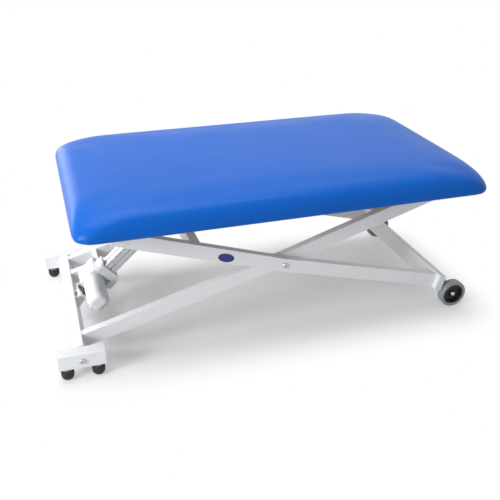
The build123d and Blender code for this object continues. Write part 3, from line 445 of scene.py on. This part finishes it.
def hard_finish_group():
    """Shift of tone, dust near the floor, uneven gloss and fine grain that every hard finish shares."""
    nodes, given = shader_group("Hard Finish", [
        ("Color", "c", (0.8, 0.8, 0.8, 1.0)),
        ("Soil Color", "c", (0.4, 0.38, 0.35, 1.0)),
        ("Soil", "f", 0.3),
        ("Tone Spread", "f", 0.05),
        ("Mottle Scale", "f", 9.0),
        ("Roughness", "f", 0.4),
        ("Roughness Spread", "f", 0.1),
        ("Grain Scale", "f", 900.0),
        ("Grain Depth", "f", 0.00004),
    ])
    place = nodes.place()
    mottle = nodes.noise(place, given["Mottle Scale"], detail=4.0, roughness=0.6)
    toned = nodes.shaded(
        given["Color"], nodes.maths("SUBTRACT", 1.0, nodes.maths("MULTIPLY", mottle, given["Tone Spread"]))
    )
    near_floor = nodes.ramp(nodes.upward(place), 0.0, DUST_HEIGHT, 1.0, DUST_ABOVE_SHARE)
    patches = nodes.ramp(nodes.noise(place, scale=26.0, detail=6.0, roughness=0.65), 0.48, 0.74)
    dust = nodes.maths("MULTIPLY", nodes.maths("MULTIPLY", near_floor, patches), given["Soil"], clamp=True)
    gloss = nodes.uneven(nodes.noise(place, scale=60.0), given["Roughness Spread"])
    rough = nodes.maths("ADD", gloss, given["Roughness"])
    rough = nodes.maths("ADD", rough, nodes.maths("MULTIPLY", dust, 0.25), clamp=True)
    grain = nodes.noise(place, given["Grain Scale"], detail=2.0)
    nodes.surface(nodes.mix(dust, toned, given["Soil Color"]), rough, nodes.bump(grain, given["Grain Depth"]))


def drawn_metal_group():
    """Fine lines and a cloudy tint of plated or drawn metal."""
    nodes, given = shader_group("Drawn Metal", [
        ("Color", "c", (0.6, 0.6, 0.62, 1.0)),
        ("Stretch", "v", (1.0, 1.0, 1.0)),
        ("Roughness", "f", 0.3),
        ("Line Depth", "f", 0.00002),
    ])
    place = nodes.place()
    lines = nodes.noise(nodes.vector("MULTIPLY", place, given["Stretch"]), scale=700.0, detail=2.0)
    tint = nodes.ramp(nodes.noise(place, scale=70.0, detail=4.0), 0.3, 0.75, 1.0, 0.82)
    rough = nodes.maths("ADD", given["Roughness"], nodes.uneven(lines, 0.25), clamp=True)
    nodes.surface(nodes.shaded(given["Color"], tint), rough, nodes.bump(lines, given["Line Depth"]))


def coated_cloth_group():
    """Upholstery cloth: fine pebbled grain with painted shade in its pits, a slow shift of tone and slightly
    rubbed patches.
    """
    nodes, given = shader_group("Coated Cloth", [
        ("Color", "c", (0.0, 0.1, 0.5, 1.0)),
        ("Deep Color", "c", (0.0, 0.05, 0.3, 1.0)),
        ("Grain Scale", "f", 620.0),
        ("Grain Depth", "f", 0.00006),
        ("Roughness", "f", 0.4),
    ])
    place = nodes.place()
    slow = nodes.ramp(nodes.noise(place, scale=2.2, detail=2.0), 0.35, 0.7, 0.0, 0.12)
    inputs = {"Vector": place, "Scale": given["Grain Scale"], "Randomness": 0.9}
    cells = nodes.add("ShaderNodeTexVoronoi", inputs, feature="SMOOTH_F1").outputs["Distance"]
    # Mask of the grain's pits, the low points of its relief: they are darkened towards the deep colour as painted
    # shade, and roughened
    shaded_pits = nodes.ramp(cells, 0.15, 0.75)
    tone = nodes.maths("ADD", slow, nodes.maths("MULTIPLY", shaded_pits, 0.06), clamp=True)
    rough = nodes.maths("ADD", given["Roughness"], nodes.uneven(nodes.noise(place, scale=5.0), 0.14))
    rough = nodes.maths("ADD", rough, nodes.maths("MULTIPLY", shaded_pits, 0.06), clamp=True)
    fibres = nodes.maths("MULTIPLY", nodes.noise(place, scale=1500.0, detail=2.0), 0.35)
    height = nodes.maths("SUBTRACT", fibres, cells)
    colour = nodes.mix(tone, given["Color"], given["Deep Color"])
    nodes.surface(colour, rough, nodes.bump(height, given["Grain Depth"]))


def plywood_group():
    """Veneer that runs along X, with its plies showing at the board's edges."""
    nodes, given = shader_group("Plywood", [
        ("Color", "c", (0.6, 0.4, 0.2, 1.0)),
        ("Dark Color", "c", (0.4, 0.2, 0.1, 1.0)),
        ("Grain Depth", "f", 0.0001),
    ])
    place = nodes.place()
    along = nodes.vector("MULTIPLY", place, (1.5, 16.0, 16.0))
    grain = nodes.noise(along, scale=5.0, detail=6.0, roughness=0.65)
    plies = nodes.ramp(nodes.maths("PINGPONG", nodes.upward(place), PLY_HEIGHT), 0.0004, 0.0011, 0.0, 0.35)
    facing_up = nodes.upward(nodes.add("ShaderNodeNewGeometry").outputs["Normal"])
    edge = nodes.ramp(nodes.maths("ABSOLUTE", facing_up), 0.3, 0.6, 1.0, 0.0)
    streaks = nodes.ramp(grain, 0.42, 0.72, 0.0, 0.7)
    dark = nodes.maths("ADD", streaks, nodes.maths("MULTIPLY", plies, edge), clamp=True)
    colour = nodes.mix(dark, given["Color"], given["Dark Color"])
    nodes.surface(colour, nodes.ramp(grain, 0.3, 0.7, 0.62, 0.75), nodes.bump(grain, given["Grain Depth"]))


def grouped_material(name, group, inputs, plain):
    """Material whose colour, roughness and normal come from a shared group; its plain sockets are set."""
    material = bpy.data.materials.new(name)
    material.use_nodes = True
    material.node_tree.nodes.clear()
    nodes = Wiring(material.node_tree)
    made = nodes.add("ShaderNodeGroup", node_tree=bpy.data.node_groups[group])
    for key, value in inputs.items():
        made.inputs[key].default_value = value
    surface = {
        "Base Color": made.outputs["Color"],
        "Roughness": made.outputs["Roughness"],
        "Normal": made.outputs["Normal"],
    }
    shader = nodes.add("ShaderNodeBsdfPrincipled", {**surface, **plain})
    nodes.add("ShaderNodeOutputMaterial", {"Surface": shader.outputs[0]})
    return material


def slot_finishes(colours):
    """For each material slot: the material's name, its group, the group's inputs and the plain sockets."""
    return {
        "white_frame": ("powder_coat", "Hard Finish", {
            "Color": colours.frame_coat, "Soil Color": PALE_DUST, "Soil": 0.35, "Tone Spread": 0.05,
            "Roughness": 0.36, "Roughness Spread": 0.1, "Grain Scale": 420.0, "Grain Depth": 0.00009,
        }, {"Coat Weight": 0.15, "Coat Roughness": 0.25}),
        "white_plastic": ("moulded_white", "Hard Finish", {
            "Color": colours.white_plastic, "Soil Color": PALE_DUST, "Soil": 0.3, "Tone Spread": 0.04,
            "Roughness": 0.42, "Grain Scale": 1500.0, "Grain Depth": 0.00005,
        }, {}),
        "grey_plastic": ("moulded_grey", "Hard Finish", {
            "Color": colours.grey_plastic, "Soil": 0.2, "Tone Spread": 0.08,
            "Roughness": 0.45, "Grain Scale": 1400.0, "Grain Depth": 0.00006,
        }, {}),
        "black_plastic": ("moulded_black", "Hard Finish", {
            "Color": colours.black_plastic, "Soil Color": PLASTIC_DUST, "Soil": 0.06, "Tone Spread": 0.2,
            "Roughness": 0.4, "Grain Scale": 1300.0, "Grain Depth": 0.00006,
        }, {"Specular IOR Level": 0.3}),
        "black_rubber": ("black_rubber", "Hard Finish", {
            "Color": RUBBER, "Soil Color": RUBBER_DUST, "Soil": 0.2, "Tone Spread": 0.2,
            "Roughness": 0.52, "Roughness Spread": 0.16, "Grain Scale": 800.0, "Grain Depth": 0.00012,
        }, {}),
        "grey_tyre": ("grey_tyre", "Hard Finish", {
            "Color": colours.tyre, "Soil Color": TYRE_DUST, "Soil": 0.55, "Tone Spread": 0.12,
            "Roughness": 0.38, "Roughness Spread": 0.18, "Grain Scale": 700.0, "Grain Depth": 0.0001,
        }, {}),
        "zinc_steel": ("zinc_plate", "Drawn Metal", {
            "Color": ZINC, "Stretch": (1.0, 0.08, 1.0), "Roughness": 0.3,
        }, {"Metallic": 1.0}),
        "polished_rod": ("polished_rod", "Drawn Metal", {
            "Color": POLISHED_STEEL, "Roughness": 0.14, "Line Depth": 0.000006,
        }, {"Metallic": 1.0}),
        "guide_aluminium": ("anodised_guide", "Drawn Metal", {
            "Color": ALUMINIUM, "Stretch": (0.1, 1.0, 0.1), "Roughness": 0.38,
        }, {"Metallic": 0.85}),
        "board_wood": ("plywood_board", "Plywood", {"Color": VENEER, "Dark Color": VENEER_DARK}, {}),
        "blue_cover": ("blue_vinyl", "Coated Cloth", {
            "Color": colours.cover, "Deep Color": colours.cover_deep, "Roughness": 0.3,
        }, {"IOR": 1.22}),
    }


def mark_enamel(colours):
    """Glossy enamel of the oval mark."""
    inputs = {
        "Color": colours.mark, "Soil": 0.1, "Tone Spread": 0.06, "Roughness": 0.3, "Grain Depth": 0.00001,
    }
    return grouped_material("mark_enamel", "Hard Finish", inputs, {"Coat Weight": 0.2, "Coat Roughness": 0.1})


class THERAPY_OT_finishes(bpy.types.Operator):
    """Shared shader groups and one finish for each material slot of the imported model"""

    bl_idname = "therapy_table.finishes"
    bl_label = "Finishes"

    def execute(self, context):
        colours = context.scene.therapy_finishes
        for group in (hard_finish_group, drawn_metal_group, coated_cloth_group, plywood_group):
            group()
        made = {slot: grouped_material(*row) for slot, row in slot_finishes(colours).items()}
        mark_enamel(colours)
        slots = {row["node"]: row["material_slot"] for row in frame["record"]["subparts"]}
        for name, node in frame["nodes"].items():
            node.data.materials.clear()
            node.data.materials.append(made[slots[name]])
        return {"FINISHED"}


def linked(name, data):
    """New object at the origin of the scene."""
    made = bpy.data.objects.new(name, data)
    bpy.context.scene.collection.objects.link(made)
    return made


def shade(mesh, smooth):
    """Sets every face smooth or flat."""
    for polygon in mesh.polygons:
        polygon.use_smooth = smooth


def bridge_rings(bm, rings, closed=False):
    """Skins rings of equally many points, and closes the first and the last with one face each."""
    made = [[bm.verts.new(point) for point in ring] for ring in rings]
    count = len(made[0])
    for low, high in zip(made, made[1:]):
        for k in range(count):
            bm.faces.new((low[k], low[(k + 1) % count], high[(k + 1) % count], high[k]))
    if closed:
        bm.faces.new(list(reversed(made[0])))
        bm.faces.new(made[-1])


def mesh_from(name, bm, smooth=True):
    """Mesh of a finished bmesh with its normals outwards."""
    bmesh.ops.recalc_face_normals(bm, faces=bm.faces)
    mesh = bpy.data.meshes.new(name)
    bm.to_mesh(mesh)
    bm.free()
    shade(mesh, smooth)
    return mesh


def applied(source, name):
    """Plain mesh of an object with its modifiers."""
    graph = bpy.context.evaluated_depsgraph_get()
    graph.update()
    mesh = bpy.data.meshes.new_from_object(source.evaluated_get(graph))
    mesh.name = name
    return mesh


def piece_from(name, mesh, body, material):
    """Piece of its own that rides on a body and takes a slot and a material."""
    made = linked(name, mesh)
    mesh.materials.clear()
    mesh.materials.append(bpy.data.materials[material])
    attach(made, body)
    return made


def rounded_ring(cushion, inset, corner, height, arc_steps=14, long_steps=60, short_steps=36):
    """Points round the top's outline at an inset, anticlockwise from the far end of its right side."""
    middle = Vector((CUSHION_MIDDLE.x, 0.0, height))
    half_length, half_width = cushion.length / 2 - inset, cushion.width / 2 - inset
    corner = min(corner, half_width - MM)
    arcs = []
    for turn, (side_x, side_y) in enumerate(((1, 1), (-1, 1), (-1, -1), (1, -1))):
        centre = middle + Vector((side_x * (half_length - corner), side_y * (half_width - corner), 0.0))
        angles = [radians(90 * turn + 90 * step / arc_steps) for step in range(arc_steps + 1)]
        arcs.append([centre + Vector((cos(angle), sin(angle), 0.0)) * corner for angle in angles])
    points = []
    for arc, following, steps in zip(arcs, arcs[1:] + arcs[:1], (long_steps, short_steps) * 2):
        points += arc + [arc[-1].lerp(following[0], step / steps) for step in range(1, steps)]
    return points


def recess_levels(cushion):
    """Rises and insets of the recess for the board, from its roof to the lip of the underside."""
    depth = BOARD_HIGH.z - cushion.underside + BOARD_GAP
    inset = CUSHION_HIGH.y - BOARD_HIGH.y - BOARD_GAP
    return [(depth, inset), (0.0, inset), (0.0, cushion.lip)]


def cover_levels(cushion):
    """Rises and insets up the cover: drooping lower edge, rolled side, then the crowned top."""
    levels = [(rise * MM, inset * MM) for rise, inset in LOWER_EDGE]
    for step in range(ROLL_FIRST_STEP, ROLL_STEPS + 1):
        angle = step / ROLL_STEPS * pi / 2
        rise = cushion.thickness - cushion.roll_height * (1 - sin(angle))
        levels.append((rise, cushion.roll * (1 - cos(angle))))
    for share in CROWN_SHARES:
        rise = cushion.thickness + cushion.crown * sin(share * pi / 2)
        levels.append((rise, cushion.roll + cushion.crown_reach * share))
    return levels


def cover_corner(cushion, inset):
    """Corner radius at an inset: it opens up over the roll and closes again towards the middle."""
    rolled = min(inset, cushion.roll)
    return cushion.corner + rolled * cushion.corner_growth - (inset - rolled) * cushion.corner_loss


def cover_mesh(cushion):
    """Closed form of the cushion before it is padded."""
    rings = [
        rounded_ring(cushion, inset, cushion.corner - inset, cushion.underside + rise)
        for rise, inset in recess_levels(cushion)
    ]
    rings += [
        rounded_ring(cushion, inset - cushion.ease, cover_corner(cushion, inset), cushion.underside + rise)
        for rise, inset in cover_levels(cushion)
    ]
    bm = bmesh.new()
    bridge_rings(bm, rings, closed=True)
    return mesh_from("cushion_cover", bm)


def swollen(mesh, cushion, scene):
    """The form with even faces, filled by simulated pressure, smoothed and divided once."""
    form = linked("cushion_form", mesh)
    remesh = form.modifiers.new("Even faces", "REMESH")
    remesh.mode = "VOXEL"
    remesh.voxel_size = cushion.voxel
    form.data = applied(form, "cushion_cover")
    form.modifiers.clear()
    rest = [vertex.co.copy() for vertex in form.data.vertices]
    held = form.vertex_groups.new(name="held")
    limit = cushion.underside + LOWER_EDGE_TOP
    held.add([k for k, home in enumerate(rest) if home.z < limit], 1.0, "REPLACE")
    cloth = form.modifiers.new("Padding", "CLOTH")
    for key, value in PADDING.items():
        setattr(cloth.settings, key, value)
    cloth.settings.vertex_group_mass = "held"
    cloth.settings.effector_weights.gravity = 0.0
    for number in range(1, cushion.frames + 1):
        scene.frame_set(number)
    filled = applied(form, "cushion_cover")
    form.modifiers.clear()
    for point, home in zip(filled.vertices, rest):
        move = point.co - home
        if move.length > cushion.swell:
            point.co = home + move * (cushion.swell / move.length)
    form.data = filled
    form.vertex_groups.clear()
    scene.frame_set(1)
    smooth = form.modifiers.new("Even", "SMOOTH")
    smooth.iterations = cushion.smoothing
    smooth.factor = 0.5
    divide = form.modifiers.new("Round", "SUBSURF")
    divide.levels = divide.render_levels = 1
    finished = applied(form, "cushion_cover")
    bpy.data.objects.remove(form)
    shade(finished, True)
    return finished


def pleat_corners(mesh, cushion):
    """Presses small gathers into the cover's corners, where it is pulled under the board."""
    inner_x, inner_y = cushion.length / 2 - cushion.corner, cushion.width / 2 - cushion.corner
    for vertex in mesh.vertices:
        rise = vertex.co.z - cushion.underside
        outward = Vector((vertex.co.x - CUSHION_MIDDLE.x, vertex.co.y, 0.0))
        along, aside = abs(outward.x) - inner_x, abs(outward.y) - inner_y
        if along <= 0 or aside <= 0 or not PLEAT_LOW <= rise <= PLEAT_REACH:
            continue
        if hypot(along, aside) < cushion.corner * PLEAT_START_SHARE:
            continue
        angle = atan2(aside, along)
        fade = sin(2 * angle) ** 2 * (1 - rise / PLEAT_REACH) ** 2
        wave = 0.5 + 0.5 * sin(angle * PLEAT_WAVES + vertex.co.x * PLEAT_DRIFT)
        vertex.co -= outward.normalized() * (PLEAT_DEPTH * fade * wave)


class THERAPY_OT_cushion(bpy.types.Operator):
    """Padded top: one rolled and crowned form, swollen by simulated padding"""

    bl_idname = "therapy_table.cushion"
    bl_label = "Padded Top"

    def execute(self, context):
        cushion = context.scene.therapy_cushion
        mesh = cover_mesh(cushion)
        mesh = swollen(mesh, cushion, context.scene)
        pleat_corners(mesh, cushion)
        made = piece_from("cushion_cover", mesh, "top", "blue_vinyl")
        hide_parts("cushion")
        return {"FINISHED"}


class THERAPY_OT_hem(bpy.types.Operator):
    """Turned-in edge of the cover under the board"""

    bl_idname = "therapy_table.hem"
    bl_label = "Cover Hem"

    def execute(self, context):
        cushion = context.scene.therapy_cushion
        inner = HEM_INSET + context.scene.therapy_cover.hem
        high = cushion.underside - HEM_GAP
        low = high - HEM_THICKNESS
        section = [(HEM_INSET, high), (HEM_INSET, low), (inner, low), (inner, high), (HEM_INSET, high)]
        bm = bmesh.new()
        bridge_rings(bm, [rounded_ring(cushion, inset, cushion.corner - inset, z) for inset, z in section])
        bmesh.ops.remove_doubles(bm, verts=bm.verts, dist=0.01 * MM)
        piece_from("cover_hem", mesh_from("cover_hem", bm, False), "top", "blue_vinyl")
        return {"FINISHED"}


def bead_form(nodes):
    """Ball of unit size, for weld beads."""
    ball = nodes.add("GeometryNodeMeshUVSphere", {"Segments": 10, "Rings": 6, "Radius": 0.5}).outputs["Mesh"]
    return nodes.add("GeometryNodeSetShadeSmooth", {"Geometry": ball}).outputs[0]


def bar_form(nodes):
    """Bar of unit size, for staples."""
    return nodes.add("GeometryNodeMeshCube", {"Size": (1.0, 1.0, 1.0)}).outputs["Mesh"]


def row_tree(name, form):
    """Geometry nodes that set one small form at even spacing along edges."""
    tree = bpy.data.node_groups.new(name, "GeometryNodeTree")
    for label, kind in (("Geometry", "Geometry"), ("Spacing", "Float"), ("Form Size", "Vector"),
                        ("Finish", "Material")):
        tree.interface.new_socket(label, in_out="INPUT", socket_type=f"NodeSocket{kind}")
    tree.interface.new_socket("Geometry", in_out="OUTPUT", socket_type="NodeSocketGeometry")
    nodes = Wiring(tree)
    given = nodes.add("NodeGroupInput").outputs
    curve = nodes.add("GeometryNodeMeshToCurve", {"Mesh": given["Geometry"]}).outputs["Curve"]
    points = nodes.add(
        "GeometryNodeCurveToPoints", {"Curve": curve, "Length": given["Spacing"]}, mode="LENGTH"
    ).outputs
    placed = nodes.add("GeometryNodeInstanceOnPoints", {
        "Points": points["Points"],
        "Instance": form(nodes),
        "Rotation": points["Rotation"],
        "Scale": given["Form Size"],
    }).outputs["Instances"]
    real = nodes.add("GeometryNodeRealizeInstances", {"Geometry": placed}).outputs["Geometry"]
    inputs = {"Geometry": real, "Material": given["Finish"]}
    coated = nodes.add("GeometryNodeSetMaterial", inputs).outputs["Geometry"]
    nodes.add("NodeGroupOutput", {"Geometry": coated})
    return tree


def row_piece(name, runs, tree, spacing, size, body, material):
    """Sets one of the row trees along straight runs and keeps the result as a plain piece."""
    lines = bpy.data.meshes.new(name + "_runs")
    ends = [Vector(point) for run in runs for point in run]
    lines.from_pydata(ends, [(2 * k, 2 * k + 1) for k in range(len(runs))], [])
    carrier = linked(name + "_runs", lines)
    rows = carrier.modifiers.new("Rows", "NODES")
    rows.node_group = tree
    sockets = {item.name: item.identifier for item in tree.interface.items_tree if item.in_out == "INPUT"}
    rows[sockets["Spacing"]] = spacing
    rows[sockets["Form Size"]] = size
    rows[sockets["Finish"]] = bpy.data.materials[material]
    mesh = applied(carrier, name)
    bpy.data.objects.remove(carrier)
    return piece_from(name, mesh, body, material)


class THERAPY_OT_staples(bpy.types.Operator):
    """Staples that hold the cover's hem to the board"""

    bl_idname = "therapy_table.staples"
    bl_label = "Staples"

    def execute(self, context):
        cushion, cover = context.scene.therapy_cushion, context.scene.therapy_cover
        inset = HEM_INSET + cover.hem - STAPLE_INSET
        z = cushion.underside - HEM_GAP - HEM_THICKNESS - STAPLE_DROP
        bend = cushion.corner
        x_low, x_high = CUSHION_LOW.x + inset, CUSHION_HIGH.x - inset
        y_low, y_high = CUSHION_LOW.y + inset, CUSHION_HIGH.y - inset
        runs = [((x_low + bend, y, z), (x_high - bend, y, z)) for y in (y_low, y_high)]
        runs += [((x, y_low + bend, z), (x, y_high - bend, z)) for x in (x_low, x_high)]
        tree = row_tree("Staple", bar_form)
        row_piece(
            "cover_staples", runs, tree, cover.staple_spacing, STAPLE_SIZE, "top", "zinc_plate"
        )
        return {"FINISHED"}


def turned(x, z, slope):
    """Vector in XZ, x along a slope and z square to it."""
    return Vector((x * cos(slope) - z * sin(slope), 0.0, x * sin(slope) + z * cos(slope)))


def closed_runs(corners):
    """Straight runs from each corner to the next, and back to the first."""
    return list(zip(corners, corners[1:] + corners[:1]))


def tube_seam(centre, y, size, slope):
    """Runs round a square tube where it meets a face across Y."""
    half = size / 2
    corners = []
    for x, z in ((-half, -half), (half, -half), (half, half), (-half, half)):
        corner = centre + turned(x, z, slope)
        corner.y = y
        corners.append(corner)
    return closed_runs(corners)


def end_seam(centre, y, width, height, slope):
    """Runs round a tube's end that meets a face square to its own line."""
    middle = Vector((centre.x, y, centre.z))
    aside, up = Vector((0.0, width / 2, 0.0)), turned(0.0, height / 2, slope)
    return closed_runs([middle - up - aside, middle - up + aside, middle + up + aside, middle + up - aside])


def scissor_seams(frame_name, beam_face, arm_slope, tube_slope):
    """Seams of one scissor frame: its arms' ends on the beam, and its cross tube's ends on the arms.

    The near side has the lower Y, as the box of the cross tube lists it first."""
    tube = f"{frame_name}_cross_tube"
    runs = []
    for side, tube_end in zip(("near", "far"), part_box(tube)):
        arm = box_middle(f"{frame_name}_arm_{side}")
        runs += end_seam(beam_face, arm.y, ARM_WIDTH, ARM_HEIGHT, arm_slope)
        runs += tube_seam(box_middle(tube), tube_end.y, CROSS_TUBE, tube_slope)
    return runs


class THERAPY_OT_welds(bpy.types.Operator):
    """Weld beads where the tubes of the two scissor frames meet"""

    bl_idname = "therapy_table.welds"
    bl_label = "Weld Beads"

    def execute(self, context):
        width = context.scene.therapy_cover.bead_size
        tree = row_tree("Weld bead", bead_form)
        crossbeam_face = BASE_PIVOT + turned(CROSSBEAM_DEPTH / 2, 0.0, INNER_LOWER_SLOPE)
        axle_beam_face = AXLE_BEAM - turned(AXLE_BEAM_DEPTH / 2, 0.0, -OUTER_LOWER_SLOPE)
        seams = {
            "inner_frame": scissor_seams("inner", crossbeam_face, INNER_LOWER_SLOPE, UPPER_SLOPE),
            "outer_frame": scissor_seams("outer", axle_beam_face, -OUTER_LOWER_SLOPE, -UPPER_SLOPE),
        }
        for body, runs in seams.items():
            row_piece(
                f"weld_beads_{body}", runs, tree, width * BEAD_SPACING_SHARE,
                (width * BEAD_LENGTH_SHARE, width, width), body, "powder_coat",
            )
        return {"FINISHED"}


class THERAPY_OT_mark(bpy.types.Operator):
    """Plain oval mark on the near outer arm"""

    bl_idname = "therapy_table.mark"
    bl_label = "Oval Mark"

    def execute(self, context):
        cover = context.scene.therapy_cover
        centre = MID_PIVOT + turned(-cover.mark_reach, -cover.mark_drop, -UPPER_SLOPE)
        rings = []
        for share, rise in MARK_RINGS:
            centre.y = NEAR_ARM_LOW.y - MARK_GAP - rise * MM
            half_length, half_height = cover.mark_length / 2 * share, cover.mark_height / 2 * share
            angles = [2 * pi * k / MARK_STEPS for k in range(MARK_STEPS)]
            rings.append([
                centre + turned(cos(angle) * half_length, sin(angle) * half_height, -UPPER_SLOPE)
                for angle in angles
            ])
        bm = bmesh.new()
        bridge_rings(bm, rings, closed=True)
        piece_from("oval_mark", mesh_from("oval_mark", bm), "outer_frame", "mark_enamel")
        return {"FINISHED"}


def backdrop_rays(nodes):
    """Mask that is 1 for rays that see the background: camera, glossy and transmission rays."""
    path = nodes.add("ShaderNodeLightPath").outputs
    seen = nodes.maths("MAXIMUM", path["Is Camera Ray"], path["Is Glossy Ray"])
    return nodes.maths("MAXIMUM", seen, path["Is Transmission Ray"])


def floor_material(studio):
    """Matt floor that shows the shadow under the table and turns plain white outside a rounded box."""
    material = bpy.data.materials.new("studio_floor")
    material.use_nodes = True
    material.node_tree.nodes.clear()
    nodes = Wiring(material.node_tree)
    seen = backdrop_rays(nodes)
    matt = nodes.add("ShaderNodeBsdfDiffuse", {"Color": studio.floor})
    lift = nodes.add("ShaderNodeEmission", {"Strength": nodes.maths("MULTIPLY", seen, studio.floor_lift)})
    lifted = nodes.add("ShaderNodeAddShader", {0: matt.outputs[0], 1: lift.outputs[0]})
    from_middle = nodes.vector("ABSOLUTE", nodes.vector("SUBTRACT", nodes.place(), studio.floor_middle))
    beyond = nodes.vector("MAXIMUM", nodes.vector("SUBTRACT", from_middle, studio.floor_half))
    away = nodes.add("ShaderNodeVectorMath", {0: beyond}, operation="LENGTH").outputs["Value"]
    far = nodes.maths("MULTIPLY", nodes.ramp(away, 0.0, studio.floor_fade), seen)
    white = nodes.add("ShaderNodeEmission", {"Strength": 1.0})
    mixed = nodes.add("ShaderNodeMixShader", {0: far, 1: lifted.outputs[0], 2: white.outputs[0]})
    nodes.add("ShaderNodeOutputMaterial", {"Surface": mixed.outputs[0]})
    return material


def studio_floor(studio):
    """Floor just under the table's feet."""
    bm = bmesh.new()
    bmesh.ops.create_grid(bm, x_segments=2, y_segments=2, size=FLOOR_HALF_SIDE)
    floor = linked("studio_floor", mesh_from("studio_floor", bm, False))
    floor.location.z = -FLOOR_DROP
    floor.data.materials.append(floor_material(studio))


def studio_world(scene, studio):
    """World that looks white and lights the table softly."""
    scene.world = bpy.data.worlds.new("studio_world")
    scene.world.use_nodes = True
    scene.world.node_tree.nodes.clear()
    nodes = Wiring(scene.world.node_tree)
    inputs = {"Factor": backdrop_rays(nodes), "A": studio.sky, "B": 1.0}
    strength = nodes.add("ShaderNodeMix", inputs, data_type="FLOAT").outputs[0]
    sky = nodes.add("ShaderNodeBackground", {"Color": WHITE, "Strength": strength})
    nodes.add("ShaderNodeOutputWorld", {"Surface": sky.outputs[0]})


def area_lamp(name, place, aim, size, power):
    """Oblong soft lamp that faces a point."""
    lamp = bpy.data.lights.new(name, "AREA")
    lamp.shape = "RECTANGLE"
    lamp.size, lamp.size_y = size
    lamp.energy = power
    made = linked(name, lamp)
    made.location = place
    made.rotation_mode = "QUATERNION"
    made.rotation_quaternion = (Vector(aim) - Vector(place)).to_track_quat("-Z", "Y")


def picture_camera(scene, studio):
    """Camera at the picture's place and angle."""
    camera = bpy.data.cameras.new("picture_camera")
    camera.lens = studio.lens
    camera.sensor_width = SENSOR_WIDTH
    camera.clip_end = CAMERA_REACH
    scene.camera = linked("picture_camera", camera)
    scene.camera.matrix_world = (
        Matrix.Translation(Vector(studio.place))
        @ Matrix.Rotation(studio.azimuth, 4, "Z")
        @ Matrix.Rotation(pi / 2 - studio.elevation, 4, "X")
        @ Matrix.Rotation(-studio.roll, 4, "Z")
    )


class THERAPY_OT_studio(bpy.types.Operator):
    """Pale floor, plain world, soft lamps and the camera at the picture's angle"""

    bl_idname = "therapy_table.studio"
    bl_label = "Studio"

    def execute(self, context):
        scene, studio = context.scene, context.scene.therapy_studio
        scene.view_settings.view_transform = "Standard"
        studio_floor(studio)
        studio_world(scene, studio)
        for lamp in LAMPS:
            area_lamp(*lamp)
        picture_camera(scene, studio)
        return {"FINISHED"}


class THERAPY_PT_panel(bpy.types.Panel):
    """Lists the table's pieces with their sizes and colours"""

    bl_idname = "THERAPY_PT_panel"
    bl_label = "Therapy Table"
    bl_space_type = "VIEW_3D"
    bl_region_type = "UI"
    bl_category = "Therapy Table"

    def draw(self, context):
        for settings, operators in (
            (context.scene.therapy_finishes, ("finishes",)),
            (context.scene.therapy_cushion, ("cushion",)),
            (context.scene.therapy_cover, ("hem", "staples", "welds", "mark")),
            (context.scene.therapy_studio, ("studio",)),
        ):
            box = self.layout.box()
            for name in settings.bl_rna.properties.keys():
                if name not in ("rna_type", "name"):
                    box.prop(settings, name)
            for operator in operators:
                box.operator("therapy_table." + operator)


SETTINGS = {
    "therapy_finishes": FinishSettings,
    "therapy_cushion": CushionSettings,
    "therapy_cover": CoverSettings,
    "therapy_studio": StudioSettings,
}
CLASSES = (
    *SETTINGS.values(),
    THERAPY_OT_finishes,
    THERAPY_OT_cushion,
    THERAPY_OT_hem,
    THERAPY_OT_staples,
    THERAPY_OT_welds,
    THERAPY_OT_mark,
    THERAPY_OT_studio,
    THERAPY_PT_panel,
)


def register():
    """Registers the classes and hangs the settings on the scene."""
    for cls in CLASSES:
        bpy.utils.register_class(cls)
    for name, cls in SETTINGS.items():
        setattr(bpy.types.Scene, name, bpy.props.PointerProperty(type=cls))


def unregister():
    """Takes back what register did."""
    for name in SETTINGS:
        delattr(bpy.types.Scene, name)
    for cls in reversed(CLASSES):
        bpy.utils.unregister_class(cls)


def main():
    """Builds every piece in order."""
    register()
    for operator in ("finishes", "cushion", "hem", "staples", "welds", "mark", "studio"):
        getattr(bpy.ops.therapy_table, operator)()


if __name__ == "__main__":
    main()
